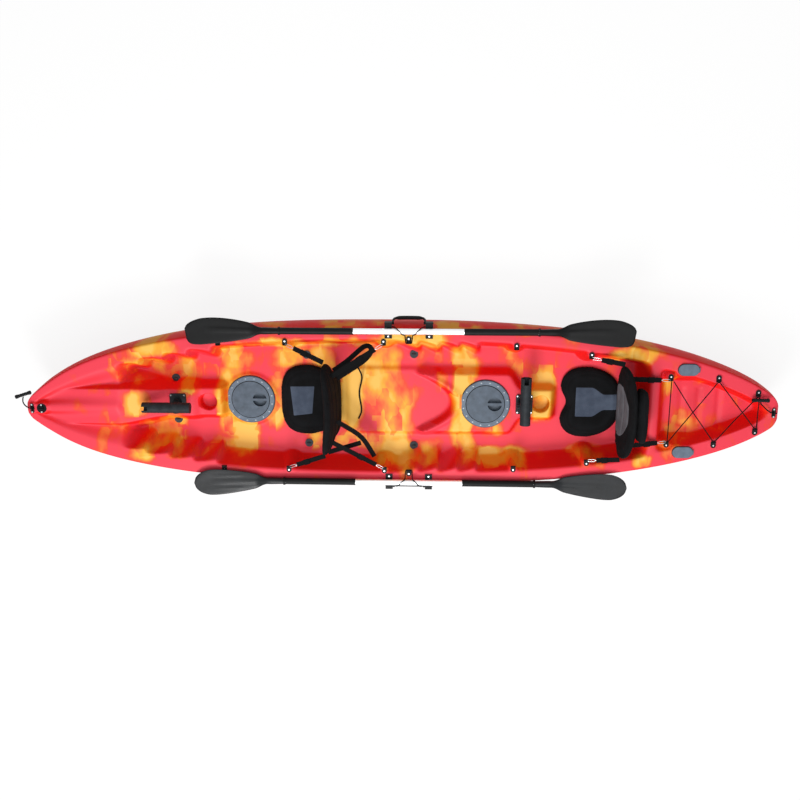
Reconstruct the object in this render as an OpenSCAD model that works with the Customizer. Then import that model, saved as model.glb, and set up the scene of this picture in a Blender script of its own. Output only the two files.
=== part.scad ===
// Two-seat sit-on-top kayak with two paddles, in millimetres.
// X points to the bow, Y to port and Z up. The origin is on the flat keel, halfway along the hull.

/* [Hull] */
// Length of the moulded hull
hull_len = 3710; // [3650:10:3900]
// Beam at the gunwale
hull_beam = 812; // [800:2:840]
// Height of the gunwale amidships
gunwale_h = 281; // [276:1:300]
// Rise of the gunwale at the bow
bow_rise = 70; // [50:1:90]
// Rise of the gunwale at the stern
stern_rise = 32; // [20:1:45]
// Width of the gunwale rim
rim_w = 62; // [58:1:64]
// Wall of the rotational moulding
wall = 4.5; // [4:0.5:6]
// Height of the cockpit floor
floor_h = 145; // [138:1:150]
// Height of the tank well floor
tank_h = 215; // [205:1:230]
// Rise of the chine above the keel
chine_h = 85; // [70:1:100]
// Height of the child's seat in the middle
middle_h = 160; // [156:1:166]
// Height of the raised deck around the rear hatch
rear_deck_h = 203; // [196:1:210]
// Height of the deck around the front hatch
front_deck_h = 157; // [154:1:164]
// Height of the front console at the rod holder
console_h = 238; // [230:1:246]
// Half width of the consoles
console_half = 70; // [66:1:80]

/* [Hatches] */
// Distance of the front hatch ahead of amidships
front_hatch_x = 765; // [755:1:775]
// Distance of the rear hatch behind amidships
rear_hatch_x = 433; // [425:1:441]
// Outer radius of a hatch ring
hatch_r = 123; // [118:1:126]
// Clear radius of a hatch
hatch_bore_r = 88; // [84:1:90]
// Thickness of a hatch ring
hatch_ring_h = 9; // [8:0.5:11]
// Screws in a hatch ring
hatch_screws_n = 16; // [8:2:20]
// Section radius of a hatch seal
seal_r = 1.5; // [1.2:0.1:1.8]
// Radius of the finger grip in a lid
grip_r = 36; // [30:1:38]

/* [Rod holders] */
// Bore radius of a rod tube
rod_bore_r = 21.5; // [19:0.5:23]
// Wall of a rod tube
rod_wall = 5; // [4:0.5:6]
// Length of a swivelling rod tube
rod_len = 240; // [220:2:250]
// Distance of the front rod holder ahead of amidships
front_rod_x = 1121; // [1105:1:1135]
// Distance of the rear rod holder behind amidships
rear_rod_x = 628; // [622:1:634]
// Depth of a flush rod holder
flush_len = 190; // [160:2:200]
// Distance of the flush rod holders behind amidships
flush_x = 1408; // [1400:1:1416]
// Rake of the flush rod holders
flush_rake = 20; // [10:1:25]

/* [Cup holders and scuppers] */
// Radius of a cup holder
cup_r = 43; // [38:1:45]
// Depth of a cup holder
cup_depth = 52; // [40:1:56]
// Radius of a scupper hole
scupper_r = 17; // [14:0.5:19]

/* [Fittings] */
// Base radius of a deck loop
loop_r = 13; // [11:0.5:14]
// Shank radius of the screws
screw_r = 2; // [1.5:0.1:2.2]
// Length of the screws below the face that they hold
screw_len = 14; // [10:1:16]
// Diameter of the shock cord
shock_d = 5; // [4:0.5:6]
// Diameter of the end handle cord
cord_d = 6; // [5:0.5:7]
// Length of a T toggle
toggle_len = 86; // [70:1:90]
// Length of a side handle grip
handle_len = 144; // [130:2:150]

/* [Seats] */
// Length of a seat pad
pad_len = 330; // [310:1:340]
// Width of a seat pad
pad_w = 392; // [370:2:410]
// Thickness of a seat pad
pad_h = 32; // [26:1:36]
// Height of a backrest
back_h = 275; // [240:1:300]
// Width of a backrest at the top
back_w = 470; // [430:2:490]
// Thickness of a backrest
back_t = 40; // [32:1:46]
// Width of the seat webbing
web_w = 26; // [22:1:30]

/* [Paddles] */
// Shaft radius
shaft_r = 15; // [14:0.5:15.5]
// Wall of the shaft tube
shaft_wall = 1.5; // [1.2:0.1:1.8]
// Overall length of a paddle
paddle_len = 2190; // [2120:10:2240]
// Length of a blade with its neck
blade_len = 420; // [400:5:440]
// Width of a blade
blade_w = 152; // [140:2:160]
// Distance of the shafts from the centreline
paddle_y = 390; // [389:0.5:392]

/* [Hidden] */
$fn = 48;
run_fit = 0.05;
gap = 0.3;
half = hull_len/2;
cut = 1;

// Smooth steps and blends that shape the moulding
function sat(t) = min(1, max(0, t));
function ease(t) = let (s = sat(t)) s*s*(3 - 2*s);
function smax(a, b, k) = max(a, b) + pow(max(k - abs(a - b), 0), 2)/(4*k);
function bump(t) = exp(-t*t);
function past(d) = max(0, d);

// Plan shape: superellipses, fuller at the stern, cut short at the blunt tips
tip_cut = 1.015;
bow_power = 2.8;
bow_full = 0.63;
stern_power = 2.3;
stern_full = 0.6;
function half_w(x) =
    let (p = x > 0 ? bow_power : stern_power, q = x > 0 ? bow_full : stern_full)
    hull_beam/2*pow(1 - pow(abs(x)/(half*tip_cut), p), q);

// Sheer line of the gunwale
sheer_bow_x = 300;
sheer_stern_x = -200;
function rim_z(x) = gunwale_h
    + bow_rise*pow(past(x - sheer_bow_x)/(half - sheer_bow_x), 2)
    + stern_rise*pow(past(sheer_stern_x - x)/(half + sheer_stern_x), 1.3);

// Foot braces: ledges that grow to a face, four to a side in each footwell
brace_front_x = 1400;
brace_front_pitch = 120;
brace_rear_x = 0;
brace_rear_pitch = 100;
brace_n = 4;
brace_step = 46;
well_wall = 58;
function saw(x, x0, pitch) =
    let (u = (x0 - x)/pitch) u <= 0 || u >= brace_n ? 0 : u - floor(u);
function ledge(x) = well_wall
    + brace_step*max(saw(x, brace_front_x, brace_front_pitch), saw(x, brace_rear_x, brace_rear_pitch));

// Cockpit from the foredeck to the bridge behind the rear seat
cockpit_front = 1405;
cockpit_back = -1238;
cockpit_slope = 60;
fore_start = 1290;
fore_valley = 38;
ridge_h = 8;
function foredeck_z(x, y) =
    let (inner = max(20, half_w(x) - rim_w), fade = ease((x - fore_start)/150),
         deep = fore_valley*sat((half_w(x) - 60)/190))
    rim_z(x) + fade*(ridge_h*bump(y/26) - deep*pow(sin(180*sat((abs(y) - 10)/(inner - 10))), 2));
function cockpit_z(x, y) =
    let (top = foredeck_z(x, y), side = ease((half_w(x) - rim_w - abs(y))/ledge(x)),
         ends = ease((cockpit_front - x)/cockpit_slope)*ease((x - cockpit_back)/cockpit_slope))
    top - (top - floor_h)*side*ends;

// Raised islands on the cockpit floor
island_slope = 2.2;
front_cup_x = 973;
rear_cup_x = -712;
cup_rim_h = 214;
rear_cup_h = rear_deck_h - 1;
console_end = 906;
flare_x = front_rod_x + 79;
flare = 20;
flare_run = 200;
function console_top(x) =
    x > front_rod_x + 60 ? console_h + (rim_z(brace_front_x) - console_h)*sat((x - front_rod_x - 60)/220)
    : console_h - (console_h - cup_rim_h)*ease((front_rod_x - 60 - x)/60);
function console_z(x, y) = console_top(x)
    - island_slope*(past(abs(y) - console_half - flare*ease((x - flare_x)/flare_run)) + past(console_end - x));
function front_pad_z(x, y) = front_deck_h - 1 - 2*past(norm([x - front_hatch_x, y]) - hatch_r - 10);
middle_front = 262;
middle_back = -300;
middle_half = 165;
function middle_z(x, y) = middle_h
    - 1.2*(past(abs(y) - middle_half) + past(x - middle_front) + past(middle_back - x));
// The rear deck starts with the curved back of the child's seat
seatback_x = -281;
seatback_reach = 177;
seatback_half = 150;
rear_deck_end = -764;
crest_h = 12;
function seatback(y) = seatback_x + seatback_reach*pow(min(abs(y), seatback_half)/seatback_half, 2);
function rear_half(x) =
    console_half + (seatback_half - console_half)*ease((x + rear_hatch_x + 185)/70);
function rear_deck_z(x, y) = rear_deck_h - 1 + crest_h*bump((x - seatback(y) + 24)/24)
    - 1.8*past(x - seatback(y)) - island_slope*(past(abs(y) - rear_half(x)) + past(rear_deck_end - x));

// Tank well behind the bridge
tank_front = -1275;
tank_back = -half + 46;
tank_edge = 74;
tank_wall = 45;
tank_slope = 60;
function tank_drop(x, y) = (rim_z(x) - tank_h)*ease((half_w(x) - tank_edge - abs(y))/tank_wall)
    *ease((tank_front - x)/40)*ease((x - tank_back)/tank_slope);

// Places of the deck loops: distance from amidships and from the gunwale's edge
tank_loop_in = 51;
tank_mid_back = 13;
loop_inset = [[890, 41], [560, 63], [74, 70], [-50, 56], [-576, 70], [-940, 75],
    [tank_front - tank_loop_in, 110], [(tank_front + tank_back)/2 - tank_mid_back, 46],
    [tank_back + tank_slope, 31]];
loop_seat = 2;
function loop_place(k) = let (p = loop_inset[k]) [p[0], half_w(p[0]) - p[1], rim_z(p[0]) + loop_seat];
function loop_pad_z(x, y) = max([for (k = [0:len(loop_inset) - 1]) let (p = loop_place(k))
    p[2] - loop_seat - 3.5*past(norm([x - p[0], abs(y) - p[1]]) - loop_r - 3)]);

// Height of the whole deck
blend = 14;
function deck_z(x, y) = max(loop_pad_z(x, y), smax(smax(smax(smax(cockpit_z(x, y), console_z(x, y), blend),
    front_pad_z(x, y), blend), middle_z(x, y), blend), rear_deck_z(x, y), blend) - tank_drop(x, y));

// Underside: flat keel, two tunnels, rounded chines, rocker at both ends
rocker_bow_x = 950;
rocker_bow = 120;
rocker_stern_x = -1000;
rocker_stern = 95;
vee = 60;
vee_x = 900;
vee_end = half - 5;
tunnel_h = 14;
tunnel_end = 1300;
tunnel_fade = 300;
function keel_z(x) = rocker_bow*pow(sat((x - rocker_bow_x)/(half - rocker_bow_x)), 2.2)
    + rocker_stern*pow(sat((rocker_stern_x - x)/(half + rocker_stern_x)), 2.2);
function bottom_z(x, e) = keel_z(x) + chine_h*pow(sat((abs(e) - 0.64)/0.36), 1.8)
    + vee*ease((x - vee_x)/(vee_end - vee_x))*abs(e)
    + tunnel_h*ease(1 - abs(abs(e) - 0.43)/0.13)*ease((tunnel_end - abs(x))/tunnel_fade);

// Grid of the moulding: stations along X, columns across
edge_d = [0, 12];
inner_f = [1, 0.92, 0.82, 0.7, 0.56, 0.4, 0.24, 0];
bottom_e = [0, 0.3, 0.43, 0.56, 0.8];
side_s = [0.5];
bulge = 9;
lip = 14;
brace_lip = 3;
faces_x = concat(
    [for (k = [1:brace_n]) brace_front_x - k*brace_front_pitch],
    [for (k = [1:brace_n]) brace_rear_x - k*brace_rear_pitch]);
function sorted(v) = len(v) < 2 ? v :
    let (m = v[floor(len(v)/2)])
    concat(sorted([for (a = v) if (a < m) a]), [for (a = v) if (a == m) a],
        sorted([for (a = v) if (a > m) a]));
tip_len = 62;
tips_x = [half, half - 7, half - 24, half - tip_len];
feature_x = [cockpit_front, 1375, 1345, console_end, 884, 632, 618,
    middle_front + 28, middle_front + 12, middle_front,
    rear_deck_end, rear_deck_end - 26, rear_deck_end - 36,
    cockpit_back + 55, cockpit_back, tank_front, tank_front - 40, tank_back, tank_back + tank_slope];
even_step = 110;
even_n = floor((half - tip_len)/even_step);
even_x = [for (k = [-even_n:even_n - 1]) (k + 0.5)*even_step];
function clear_of(x, list, d) = len([for (a = list) if (abs(a - x) < d) a]) == 0;
fixed_x = concat(tips_x, -tips_x, feature_x,
    [for (f = faces_x) f - brace_lip], [for (f = faces_x) f + brace_lip]);
stations = sorted(concat(fixed_x, [for (x = even_x) if (clear_of(x, fixed_x, 22)) x]));
tip_round = [0.72, 0.94];
function tip_scale(x) = abs(x) > half - 1 ? tip_round[0] : abs(x) > half - 8 ? tip_round[1] : 1;
function plan_w(x) = half_w(x)*tip_scale(x);
function edge_k(x) = min(1, plan_w(x)/130);
function column_y(x) = let (w = plan_w(x), k = edge_k(x)) concat(
    [for (d = edge_d) w - d*k], [for (f = inner_f) f*(w - rim_w*k)]);
function edge_drop(d) = d < 1 ? lip : 1;
function deck_row(x) = let (y = column_y(x), k = edge_k(x)) [for (i = [0:len(y) - 1])
    [x, y[i], deck_z(x, y[i]) - (i < len(edge_d) ? edge_drop(edge_d[i])*k : 0)]];
function side_row(x) = let (w = plan_w(x), b = bottom_z(x, 1), t = rim_z(x) - lip) [for (s = side_s)
    [x, w + bulge*sin(180*s)*edge_k(x), t + (b - t)*s]];
function bottom_row(x) = let (w = plan_w(x)) concat([[x, w, bottom_z(x, 1)]],
    [for (i = [len(bottom_e) - 1:-1:0]) [x, w*bottom_e[i], bottom_z(x, bottom_e[i])]]);
function rev(v) = [for (i = [len(v) - 1:-1:0]) v[i]];
function starboard(v) = [for (p = v) [p[0], -p[1], p[2]]];
function tail(v) = [for (i = [1:len(v) - 1]) v[i]];
// A ring runs over the deck to starboard, down the side, under the keel and up the port side
function ring_of(deck, side, bottom) = concat(deck, tail(rev(starboard(deck))), starboard(side),
    starboard(bottom), tail(rev(bottom)), rev(side));
function outer_ring(x) = ring_of(deck_row(x), side_row(x), bottom_row(x));

// The hollow: the same columns, lowered by the wall and drawn in from steep walls
function low_z(x, y) = min([for (i = [-wall, 0, wall], j = [-wall, 0, wall]) deck_z(x + i, y + j)]) - wall;
function hollow_deck(x) = let (y = column_y(x)) [for (i = [1:len(y) - 1])
    [x, y[i], low_z(x, y[i]) - (i == 1 ? 5 : 0)]];
function hollow_side(x) = [for (p = side_row(x)) [x, p[1] - (wall + 1)*edge_k(x), p[2]]];
function hollow_bottom(x) = let (w = plan_w(x)) concat(
    [[x, w - (wall + 1)*edge_k(x), bottom_z(x, 1) + wall]],
    [for (i = [len(bottom_e) - 1:-1:0]) [x, w*bottom_e[i], bottom_z(x, bottom_e[i]) + wall]]);
function hollow_ring(x) = ring_of(hollow_deck(x), hollow_side(x), hollow_bottom(x));
hollow_end = 64;
hollow_x = [for (x = stations) if (abs(x) < half - hollow_end + cut) x];

// Closed skin over rings of points; strips across the ring close the ends
module skin(rings) {
    n = len(rings[0]);
    m = len(rings);
    walls = [for (i = [0:m - 2], j = [0:n - 1]) let (k = (j + 1) % n)
        each [[i*n + j, (i + 1)*n + j, (i + 1)*n + k], [i*n + j, (i + 1)*n + k, i*n + k]]];
    strip = [for (j = [0:floor((n - 3)/2)]) each [[j, j + 1, n - 1 - j],
        if (n - 2 - j > j + 1) [j + 1, n - 2 - j, n - 1 - j]]];
    first = [for (f = strip) [f[0], f[1], f[2]]];
    last = [for (f = strip) (m - 1)*n*[1, 1, 1] + [f[2], f[1], f[0]]];
    polyhedron([for (r = rings) each r], concat(walls, first, last), convexity = 8);
}

// Tube of n sides along a route; each ring leans halfway into the bend and carries on the last one's frame
function unit(v) = v/norm(v);
function along(r, i) = unit(unit(r[min(i + 1, len(r) - 1)] - r[min(i, len(r) - 2)])
    + unit(r[max(i, 1)] - r[max(i - 1, 0)]));
function carried(r, i) = let (t = along(r, i),
    v = i > 0 ? carried(r, i - 1) : cross(t, abs(t[2]) > 0.9 ? [1, 0, 0] : [0, 0, 1])) unit(v - (v*t)*t);
function tube_ring(r, i, d, n) = let (t = along(r, i), a = carried(r, i), b = cross(t, a))
    [for (k = [0:n - 1]) r[i] + d/2*(cos(360*k/n)*a + sin(360*k/n)*b)];
module tube(route, d, n = 8) skin([for (i = [0:len(route) - 1]) tube_ring(route, i, d, n)]);

// Bar of a rectangular section from one point to another
module aim(a, b) {
    v = b - a;
    translate(a) rotate([0, -asin(v[2]/norm(v)), atan2(v[1], v[0])]) children();
}
module both_sides() {
    children();
    mirror([0, 1, 0]) children();
}
module pill(len, w, h) linear_extrude(h) {
    square([len - w, w], center = true);
    for (s = [-1, 1]) translate([s*(len - w)/2, 0]) circle(d = w);
}
module plate(x, y, r, h) linear_extrude(h) {
    square([x, y - 2*r], center = true);
    square([x - 2*r, y], center = true);
    for (i = [-1, 1], j = [-1, 1]) translate([i*(x/2 - r), j*(y/2 - r)]) circle(r);
}
module screw(grip) {
    translate([0, 0, -screw_len]) cylinder(r = screw_r, h = screw_len + grip + cut);
    translate([0, 0, grip]) cylinder(r = head_r, h = head_h);
}
head_r = 4;
head_h = 2.5;
hole_r = screw_r + 0.2;
module drill(r, down, up) translate([0, 0, -down]) cylinder(r = r, h = down + up);

// Seats of the fittings
nose_x = half - 29;
drain_x = half - 77;
tail_x = -half + 25;
nose_z = rim_z(nose_x) + ridge_h + 2;
tail_z = rim_z(tail_x) + 3;
eye_w = 50;
eye_d = 18;
eye_h = 4;
eye_span = 19;
eye_arch = 12;
eye_wire = 3;
drain_r = 24;
drain_h = 4;
drain_span = 18;
drain_bore = 9;
front_rod_z = console_h + 1;
rear_rod_z = rear_deck_h + 1;
rod_base = [84, 100];
rod_base_h = 8;
rod_span = [34, 42];
rod_boss = 66;
flush_y = half_w(-flush_x) - 53;
flush_z = rim_z(-flush_x) + 2;
flush_size = [104, 60];
flush_h = 4;
bracket_x = [50, -150];
bracket_l = 36;
bracket_h = 5.5;
bracket_out = hull_beam/2 + 26;
bracket_in = hull_beam/2 - 54;
bracket_z = gunwale_h + 3;
bracket_screw = hull_beam/2 - 43;
scupper_places = [[1147, 110], [472, 235], [-72, 242]];
scupper_lip = 3;
scupper_flange = 5;
function scupper_z(p) = deck_z(p[0], p[1]) + scupper_lip;
hatch_deep = 16;
function hatch_hole_r() = hatch_bore_r + 5;
hatch_pcd = hatch_r - 11;

// Hull: hollow moulding with seats, sleeves and holes
module seats() {
    both_sides() {
        for (k = [0:len(loop_inset) - 1]) translate(loop_place(k)) drill(loop_r + 3, 40, 0);
        for (p = scupper_places) translate([p[0], p[1], scupper_z(p)]) drill(scupper_r + 8, 20, 0);
        translate([-flush_x, flush_y, flush_z - 20]) pill(flush_size[0] + 6, flush_size[1] + 6, 20);
        for (x = bracket_x) translate([x - bracket_l/2 - 2, bracket_in - 2, bracket_z - 14])
            cube([bracket_l + 4, hull_beam/2 + 7 - bracket_in, 14]);
    }
    translate([nose_x, 0, nose_z]) drill(26, 20, 0);
    translate([drain_x, 0, nose_z]) drill(drain_r + 3, 20, 0);
    translate([tail_x, 0, tail_z]) drill(24, 20, 0);
    translate([front_rod_x, 0, front_rod_z]) drill(rod_boss, 20, 0);
    translate([-rear_rod_x, 0, rear_rod_z]) drill(rod_boss, 20, 0);
    translate([front_hatch_x, 0, front_deck_h]) drill(hatch_r + 7, hatch_deep, 0);
    translate([-rear_hatch_x, 0, rear_deck_h]) drill(hatch_r + 7, hatch_deep, 0);
}
cup_wall = 4;
skin_in = 1;
module sleeves() {
    both_sides() for (p = scupper_places)
        let (foot = bottom_z(p[0], p[1]/half_w(p[0])) + skin_in, top = deck_z(p[0], p[1]) - skin_in)
            translate([p[0], p[1], foot]) cylinder(r = scupper_r + 6, h = top - foot);
    translate([front_cup_x, 0, cup_rim_h - skin_in])
        drill(cup_r + cup_wall, cup_depth + cup_wall - skin_in, 0);
    translate([rear_cup_x, 0, rear_cup_h - skin_in])
        drill(cup_r + cup_wall, cup_depth + cup_wall - skin_in, 0);
}
module rake() rotate([0, -flush_rake, 0]) children();
module hull_holes() {
    both_sides() {
        for (k = [0:len(loop_inset) - 1]) translate(loop_place(k)) drill(hole_r, screw_len + 6, cut);
        for (p = scupper_places) translate([p[0], p[1], scupper_z(p)]) {
            drill(scupper_r, 2*floor_h, 1);
            drill(scupper_r + 6, 0, 60);
        }
        translate([-flush_x, flush_y, flush_z]) rake() drill(flush_out_r + 0.5, flush_len + 12, 40);
        for (x = bracket_x) translate([x, bracket_screw, bracket_z]) drill(hole_r, screw_len + 6, cut);
        translate([nose_x, eye_span, nose_z]) drill(hole_r, screw_len + 6, cut);
        translate([tail_x, eye_span, tail_z]) drill(hole_r, screw_len + 6, cut);
        translate([drain_x, drain_span, nose_z]) drill(hole_r, screw_len + 6, cut);
        for (i = [-1, 1]) translate([front_rod_x + i*rod_span[0], rod_span[1], front_rod_z])
            drill(hole_r, screw_len + 6, cut);
        for (i = [-1, 1]) translate([-rear_rod_x + i*rod_span[0], rod_span[1], rear_rod_z])
            drill(hole_r, screw_len + 6, cut);
    }
    translate([drain_x, 0, nose_z]) drill(drain_bore + 3, 60, cut);
    translate([front_cup_x, 0, cup_rim_h]) drill(cup_r, cup_depth, 60);
    translate([rear_cup_x, 0, rear_cup_h]) drill(cup_r, cup_depth, 60);
    for (h = [[front_hatch_x, front_deck_h], [-rear_hatch_x, rear_deck_h]]) translate([h[0], 0, h[1]]) {
        drill(hatch_hole_r(), 60, 40);
        drill(hatch_r + 3, 0, 40);
        for (k = [0:hatch_screws_n - 1]) rotate((k + 0.5)*360/hatch_screws_n) translate([hatch_pcd, 0, 0])
            drill(hole_r, hatch_deep - 1, cut);
    }
}
// The hollow reaches the outside only through the hatches
module moulding() resize([hull_len, 0, 0]) difference() {
    skin([for (x = stations) outer_ring(x)]);
    skin([for (x = hollow_x) hollow_ring(x)]);
    translate([front_hatch_x, 0, front_deck_h]) drill(hatch_hole_r() - 3, 40, 40, $fn = 16);
    translate([-rear_hatch_x, 0, rear_deck_h]) drill(hatch_hole_r() - 3, 40, 40, $fn = 16);
}
module hull() color("#E8303A") difference() {
    union() {
        moulding();
        seats();
        sleeves();
    }
    hull_holes();
}

// Screw-in deck hatches
module hatch_ring() color("#5F6A78") difference() {
    rotate_extrude($fn = 96) polygon([[hatch_bore_r, -ring_down], [ring_spigot_r, -ring_down],
        [ring_spigot_r, 0], [hatch_r, 0], [hatch_r, hatch_ring_h - 2], [hatch_r - 3, hatch_ring_h],
        [hatch_ledge_r, hatch_ring_h], [hatch_ledge_r, ledge_h], [hatch_bore_r, ledge_h]]);
    for (k = [0:hatch_screws_n - 1]) rotate((k + 0.5)*360/hatch_screws_n) translate([hatch_pcd, 0, 0])
        drill(hole_r, cut, hatch_ring_h + cut);
}
hatch_ledge_r = hatch_bore_r + 8;
ring_spigot_r = hatch_hole_r() - 0.4;
ring_down = 22;
ledge_h = 3;
seal_z = ledge_h + seal_r + 0.02;
lid_z = seal_z + seal_r + 0.04;
lid_t = 5;
grip_off = hatch_bore_r - grip_r - 5;
module hatch_seal() color("#202224") translate([0, 0, seal_z])
    rotate_extrude($fn = 96) translate([hatch_bore_r + 4, 0]) circle(seal_r);
module hatch_lid() color("#5A6573") difference() {
    union() {
        translate([0, 0, lid_z]) cylinder(r = hatch_ledge_r - 0.4, h = lid_t);
        translate([0, 0, -16]) difference() {
            cylinder(r = hatch_bore_r - 0.4, h = lid_z + 17);
            translate([0, 0, -cut]) cylinder(r = hatch_bore_r - 4, h = lid_z + 17 + cut);
        }
        translate([-grip_off, 0, -12]) cylinder(r = grip_r + 3, h = lid_z + 13);
    }
    difference() {
        translate([-grip_off, 0, -9]) cylinder(r = grip_r, h = lid_z + lid_t + 10);
        translate([-grip_off - grip_r - 1, -6, lid_z - 3]) cube([2*grip_r + 2, 12, lid_t + 3]);
    }
}
module at_front_hatch() translate([front_hatch_x, 0, front_deck_h]) children();
module at_rear_hatch() translate([-rear_hatch_x, 0, rear_deck_h]) children();
module front_hatch_ring() at_front_hatch() hatch_ring();
module front_hatch_seal() at_front_hatch() hatch_seal();
module front_hatch_lid() at_front_hatch() hatch_lid();
module rear_hatch_ring() at_rear_hatch() hatch_ring();
module rear_hatch_seal() at_rear_hatch() hatch_seal();
module rear_hatch_lid() at_rear_hatch() hatch_lid();
module ring_screws() for (k = [0:hatch_screws_n - 1]) rotate((k + 0.5)*360/hatch_screws_n)
    translate([hatch_pcd, 0, 0]) screw(hatch_ring_h);
module hatch_screws() color("#C8CCD0") {
    at_front_hatch() ring_screws();
    at_rear_hatch() ring_screws();
}

// Drain plug in the nose
module at_drain() translate([drain_x, 0, nose_z]) children();
module drain_flange() color("#17181A") at_drain() difference() {
    union() {
        cylinder(r = drain_r, h = drain_h);
        translate([0, 0, -20]) cylinder(r = drain_bore + 2.6, h = 21);
    }
    drill(drain_bore, 21, drain_h + cut);
    both_sides() translate([0, drain_span, 0]) drill(hole_r, cut, drain_h + cut);
}
gasket_h = 1.6;
module drain_gasket() color("#2A2C2E") at_drain() translate([0, 0, drain_h + 0.04]) difference() {
    cylinder(r = drain_bore + 4, h = gasket_h);
    translate([0, 0, -cut]) cylinder(r = drain_bore + 0.4, h = gasket_h + 2*cut);
}
module drain_plug() color("#1B1C1E") at_drain() {
    translate([0, 0, drain_h + gasket_h + 0.1]) cylinder(r = drain_bore + 4, h = 6);
    translate([-drain_bore - 2, -3, drain_h + gasket_h + 5]) cube([2*drain_bore + 4, 6, 7]);
    translate([0, 0, -14]) cylinder(r = drain_bore - 0.3, h = drain_h + gasket_h + 16);
}

// Padeyes and carry handles at the ends
module padeye() difference() {
    union() {
        rotate(90) pill(eye_w, eye_d, eye_h);
        translate([0, 0, eye_h - 0.5]) rotate([90, 0, 90]) rotate_extrude(angle = 180)
            translate([eye_arch, 0]) circle(eye_wire, $fn = 24);
    }
    both_sides() translate([0, eye_span, 0]) drill(hole_r, cut, eye_h + cut);
}
module padeyes() color("#1C1D1F") {
    translate([nose_x, 0, nose_z]) padeye();
    translate([tail_x, 0, tail_z]) padeye();
}
// The bow handle lies over the starboard shoulder of the bow
bow_route = [[-14, 0, 7.4], [0, 0, 7.4], [14, -4, 7.6], [30, -16, 10], [40, -34, 9], [41, -50, 4],
    [40, -58.9, 0]];
bow_grip = [40, -69, -1.6];
module bow_cord() color("#202020") translate([nose_x, 0, nose_z]) tube(bow_route, cord_d);
module toggle() {
    rotate([0, 90, 0]) cylinder(r = 8.5, h = toggle_len - 16, center = true);
    for (s = [-1, 1]) translate([s*(toggle_len/2 - 8), 0, 0]) rotate([0, 90, 0])
        cylinder(r = 10, h = 16, center = true);
}
module bow_toggle() color("#191A1B") translate([nose_x, 0, nose_z] + bow_grip) rotate(18) toggle();
// The stern handle lies on the rim beside the tank well
stern_route = [[-14, 0, 7.4], [0, 0, 7.4], [16, -4, 7.6], [36, -18, 12], [58, -38, 17], [70, -50, 19],
    [73, -58.3, 19]];
stern_grip = [73, -68, 18.5];
module stern_cord() color("#202020") translate([tail_x, 0, tail_z]) tube(stern_route, cord_d);
module stern_toggle() color("#191A1B") translate([tail_x, 0, tail_z] + stern_grip) toggle();

// Side carry handles on hinged brackets
handle_y = bracket_out - 8;
handle_z = bracket_z - 20;
handle_pin = 4;
pin_root = 4;
handle_reach = 58;
handle_hang = 75;
handle_grip_r = 10;
handle_mid = (bracket_x[0] + bracket_x[1])/2;
bracket_gap = bracket_x[0] - bracket_x[1] - bracket_l;
module side_brackets() color("#1A1B1D") both_sides() for (x = bracket_x) difference() {
    union() {
        translate([x - bracket_l/2, bracket_in, bracket_z])
            cube([bracket_l, bracket_out - bracket_in, bracket_h]);
        translate([x - bracket_l/2, bracket_out - 16, handle_z - 10]) cube([bracket_l, 16, 32]);
    }
    translate([x, handle_y, handle_z]) rotate([0, 90, 0])
        cylinder(r = handle_pin + run_fit, h = bracket_l + 2*cut, center = true);
    translate([x, bracket_screw, bracket_z]) drill(hole_r, cut, bracket_h + cut);
}
module handle() translate([handle_mid, handle_y, handle_z]) {
    arm = (bracket_gap - handle_len)/2 - 1;
    rotate([0, 90, 0]) for (s = [-1, 1]) translate([0, 0, s*((bracket_gap + bracket_l)/2 - pin_root/2)])
        cylinder(r = handle_pin, h = bracket_l + pin_root, center = true);
    rotate([-handle_hang, 0, 0]) {
        for (s = [-1, 1]) translate([s*(handle_len + arm)/2, 0, 0]) {
            rotate([0, 90, 0]) cylinder(r = 7, h = arm, center = true);
            translate([-arm/2, 0, -6]) cube([arm, handle_reach, 12]);
        }
        translate([0, handle_reach, 0]) rotate([0, 90, 0])
            cylinder(r = handle_grip_r, h = handle_len + 2*arm, center = true);
    }
}
module port_handle() color("#141516") handle();
module starboard_handle() color("#141516") mirror([0, 1, 0]) handle();

// Paddle keepers: shock cord from the brackets over the shaft to a deck loop
paddle_z = bracket_z + bracket_h + gap + shaft_r;
keeper_half = bracket_gap/2 - shock_d/2 - gap;
keeper_wrap = [10, 50, 90, 130, 170];
keeper_r = (shaft_r + shock_d/2 + 0.6)/cos(20);
keeper_loop = 3;
function wrap_point(a, x) = [x, paddle_y + keeper_r*cos(a), paddle_z + keeper_r*sin(a)];
// Each half leaves a bracket, crosses the shaft and goes round one leg of the deck loop
function keeper_leg(s) = let (p = loop_place(keeper_loop), up = loop_h + shock_d/2 + 0.5,
    off = arch_wire + shock_d/2 + gap) concat(
    [[handle_mid + s*keeper_half, paddle_y + 22, bracket_z + bracket_h/2]],
    [for (i = [0:4]) wrap_point(keeper_wrap[i], handle_mid + s*(keeper_half - 8 - 11*i))],
    [p + [s*(arch_r + off + 2), -arch_off + 16, up], p + [s*(arch_r + off), -arch_off, up],
    p + [s*(arch_r + off*0.75), -arch_off - off*0.75, up], p + [s*arch_r, -arch_off - off, up]]);
module keeper() tube(concat(keeper_leg(1), rev(keeper_leg(-1))), shock_d);
module port_paddle_keeper() color("#101112") keeper();
module starboard_paddle_keeper() color("#101112") mirror([0, 1, 0]) keeper();

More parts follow.
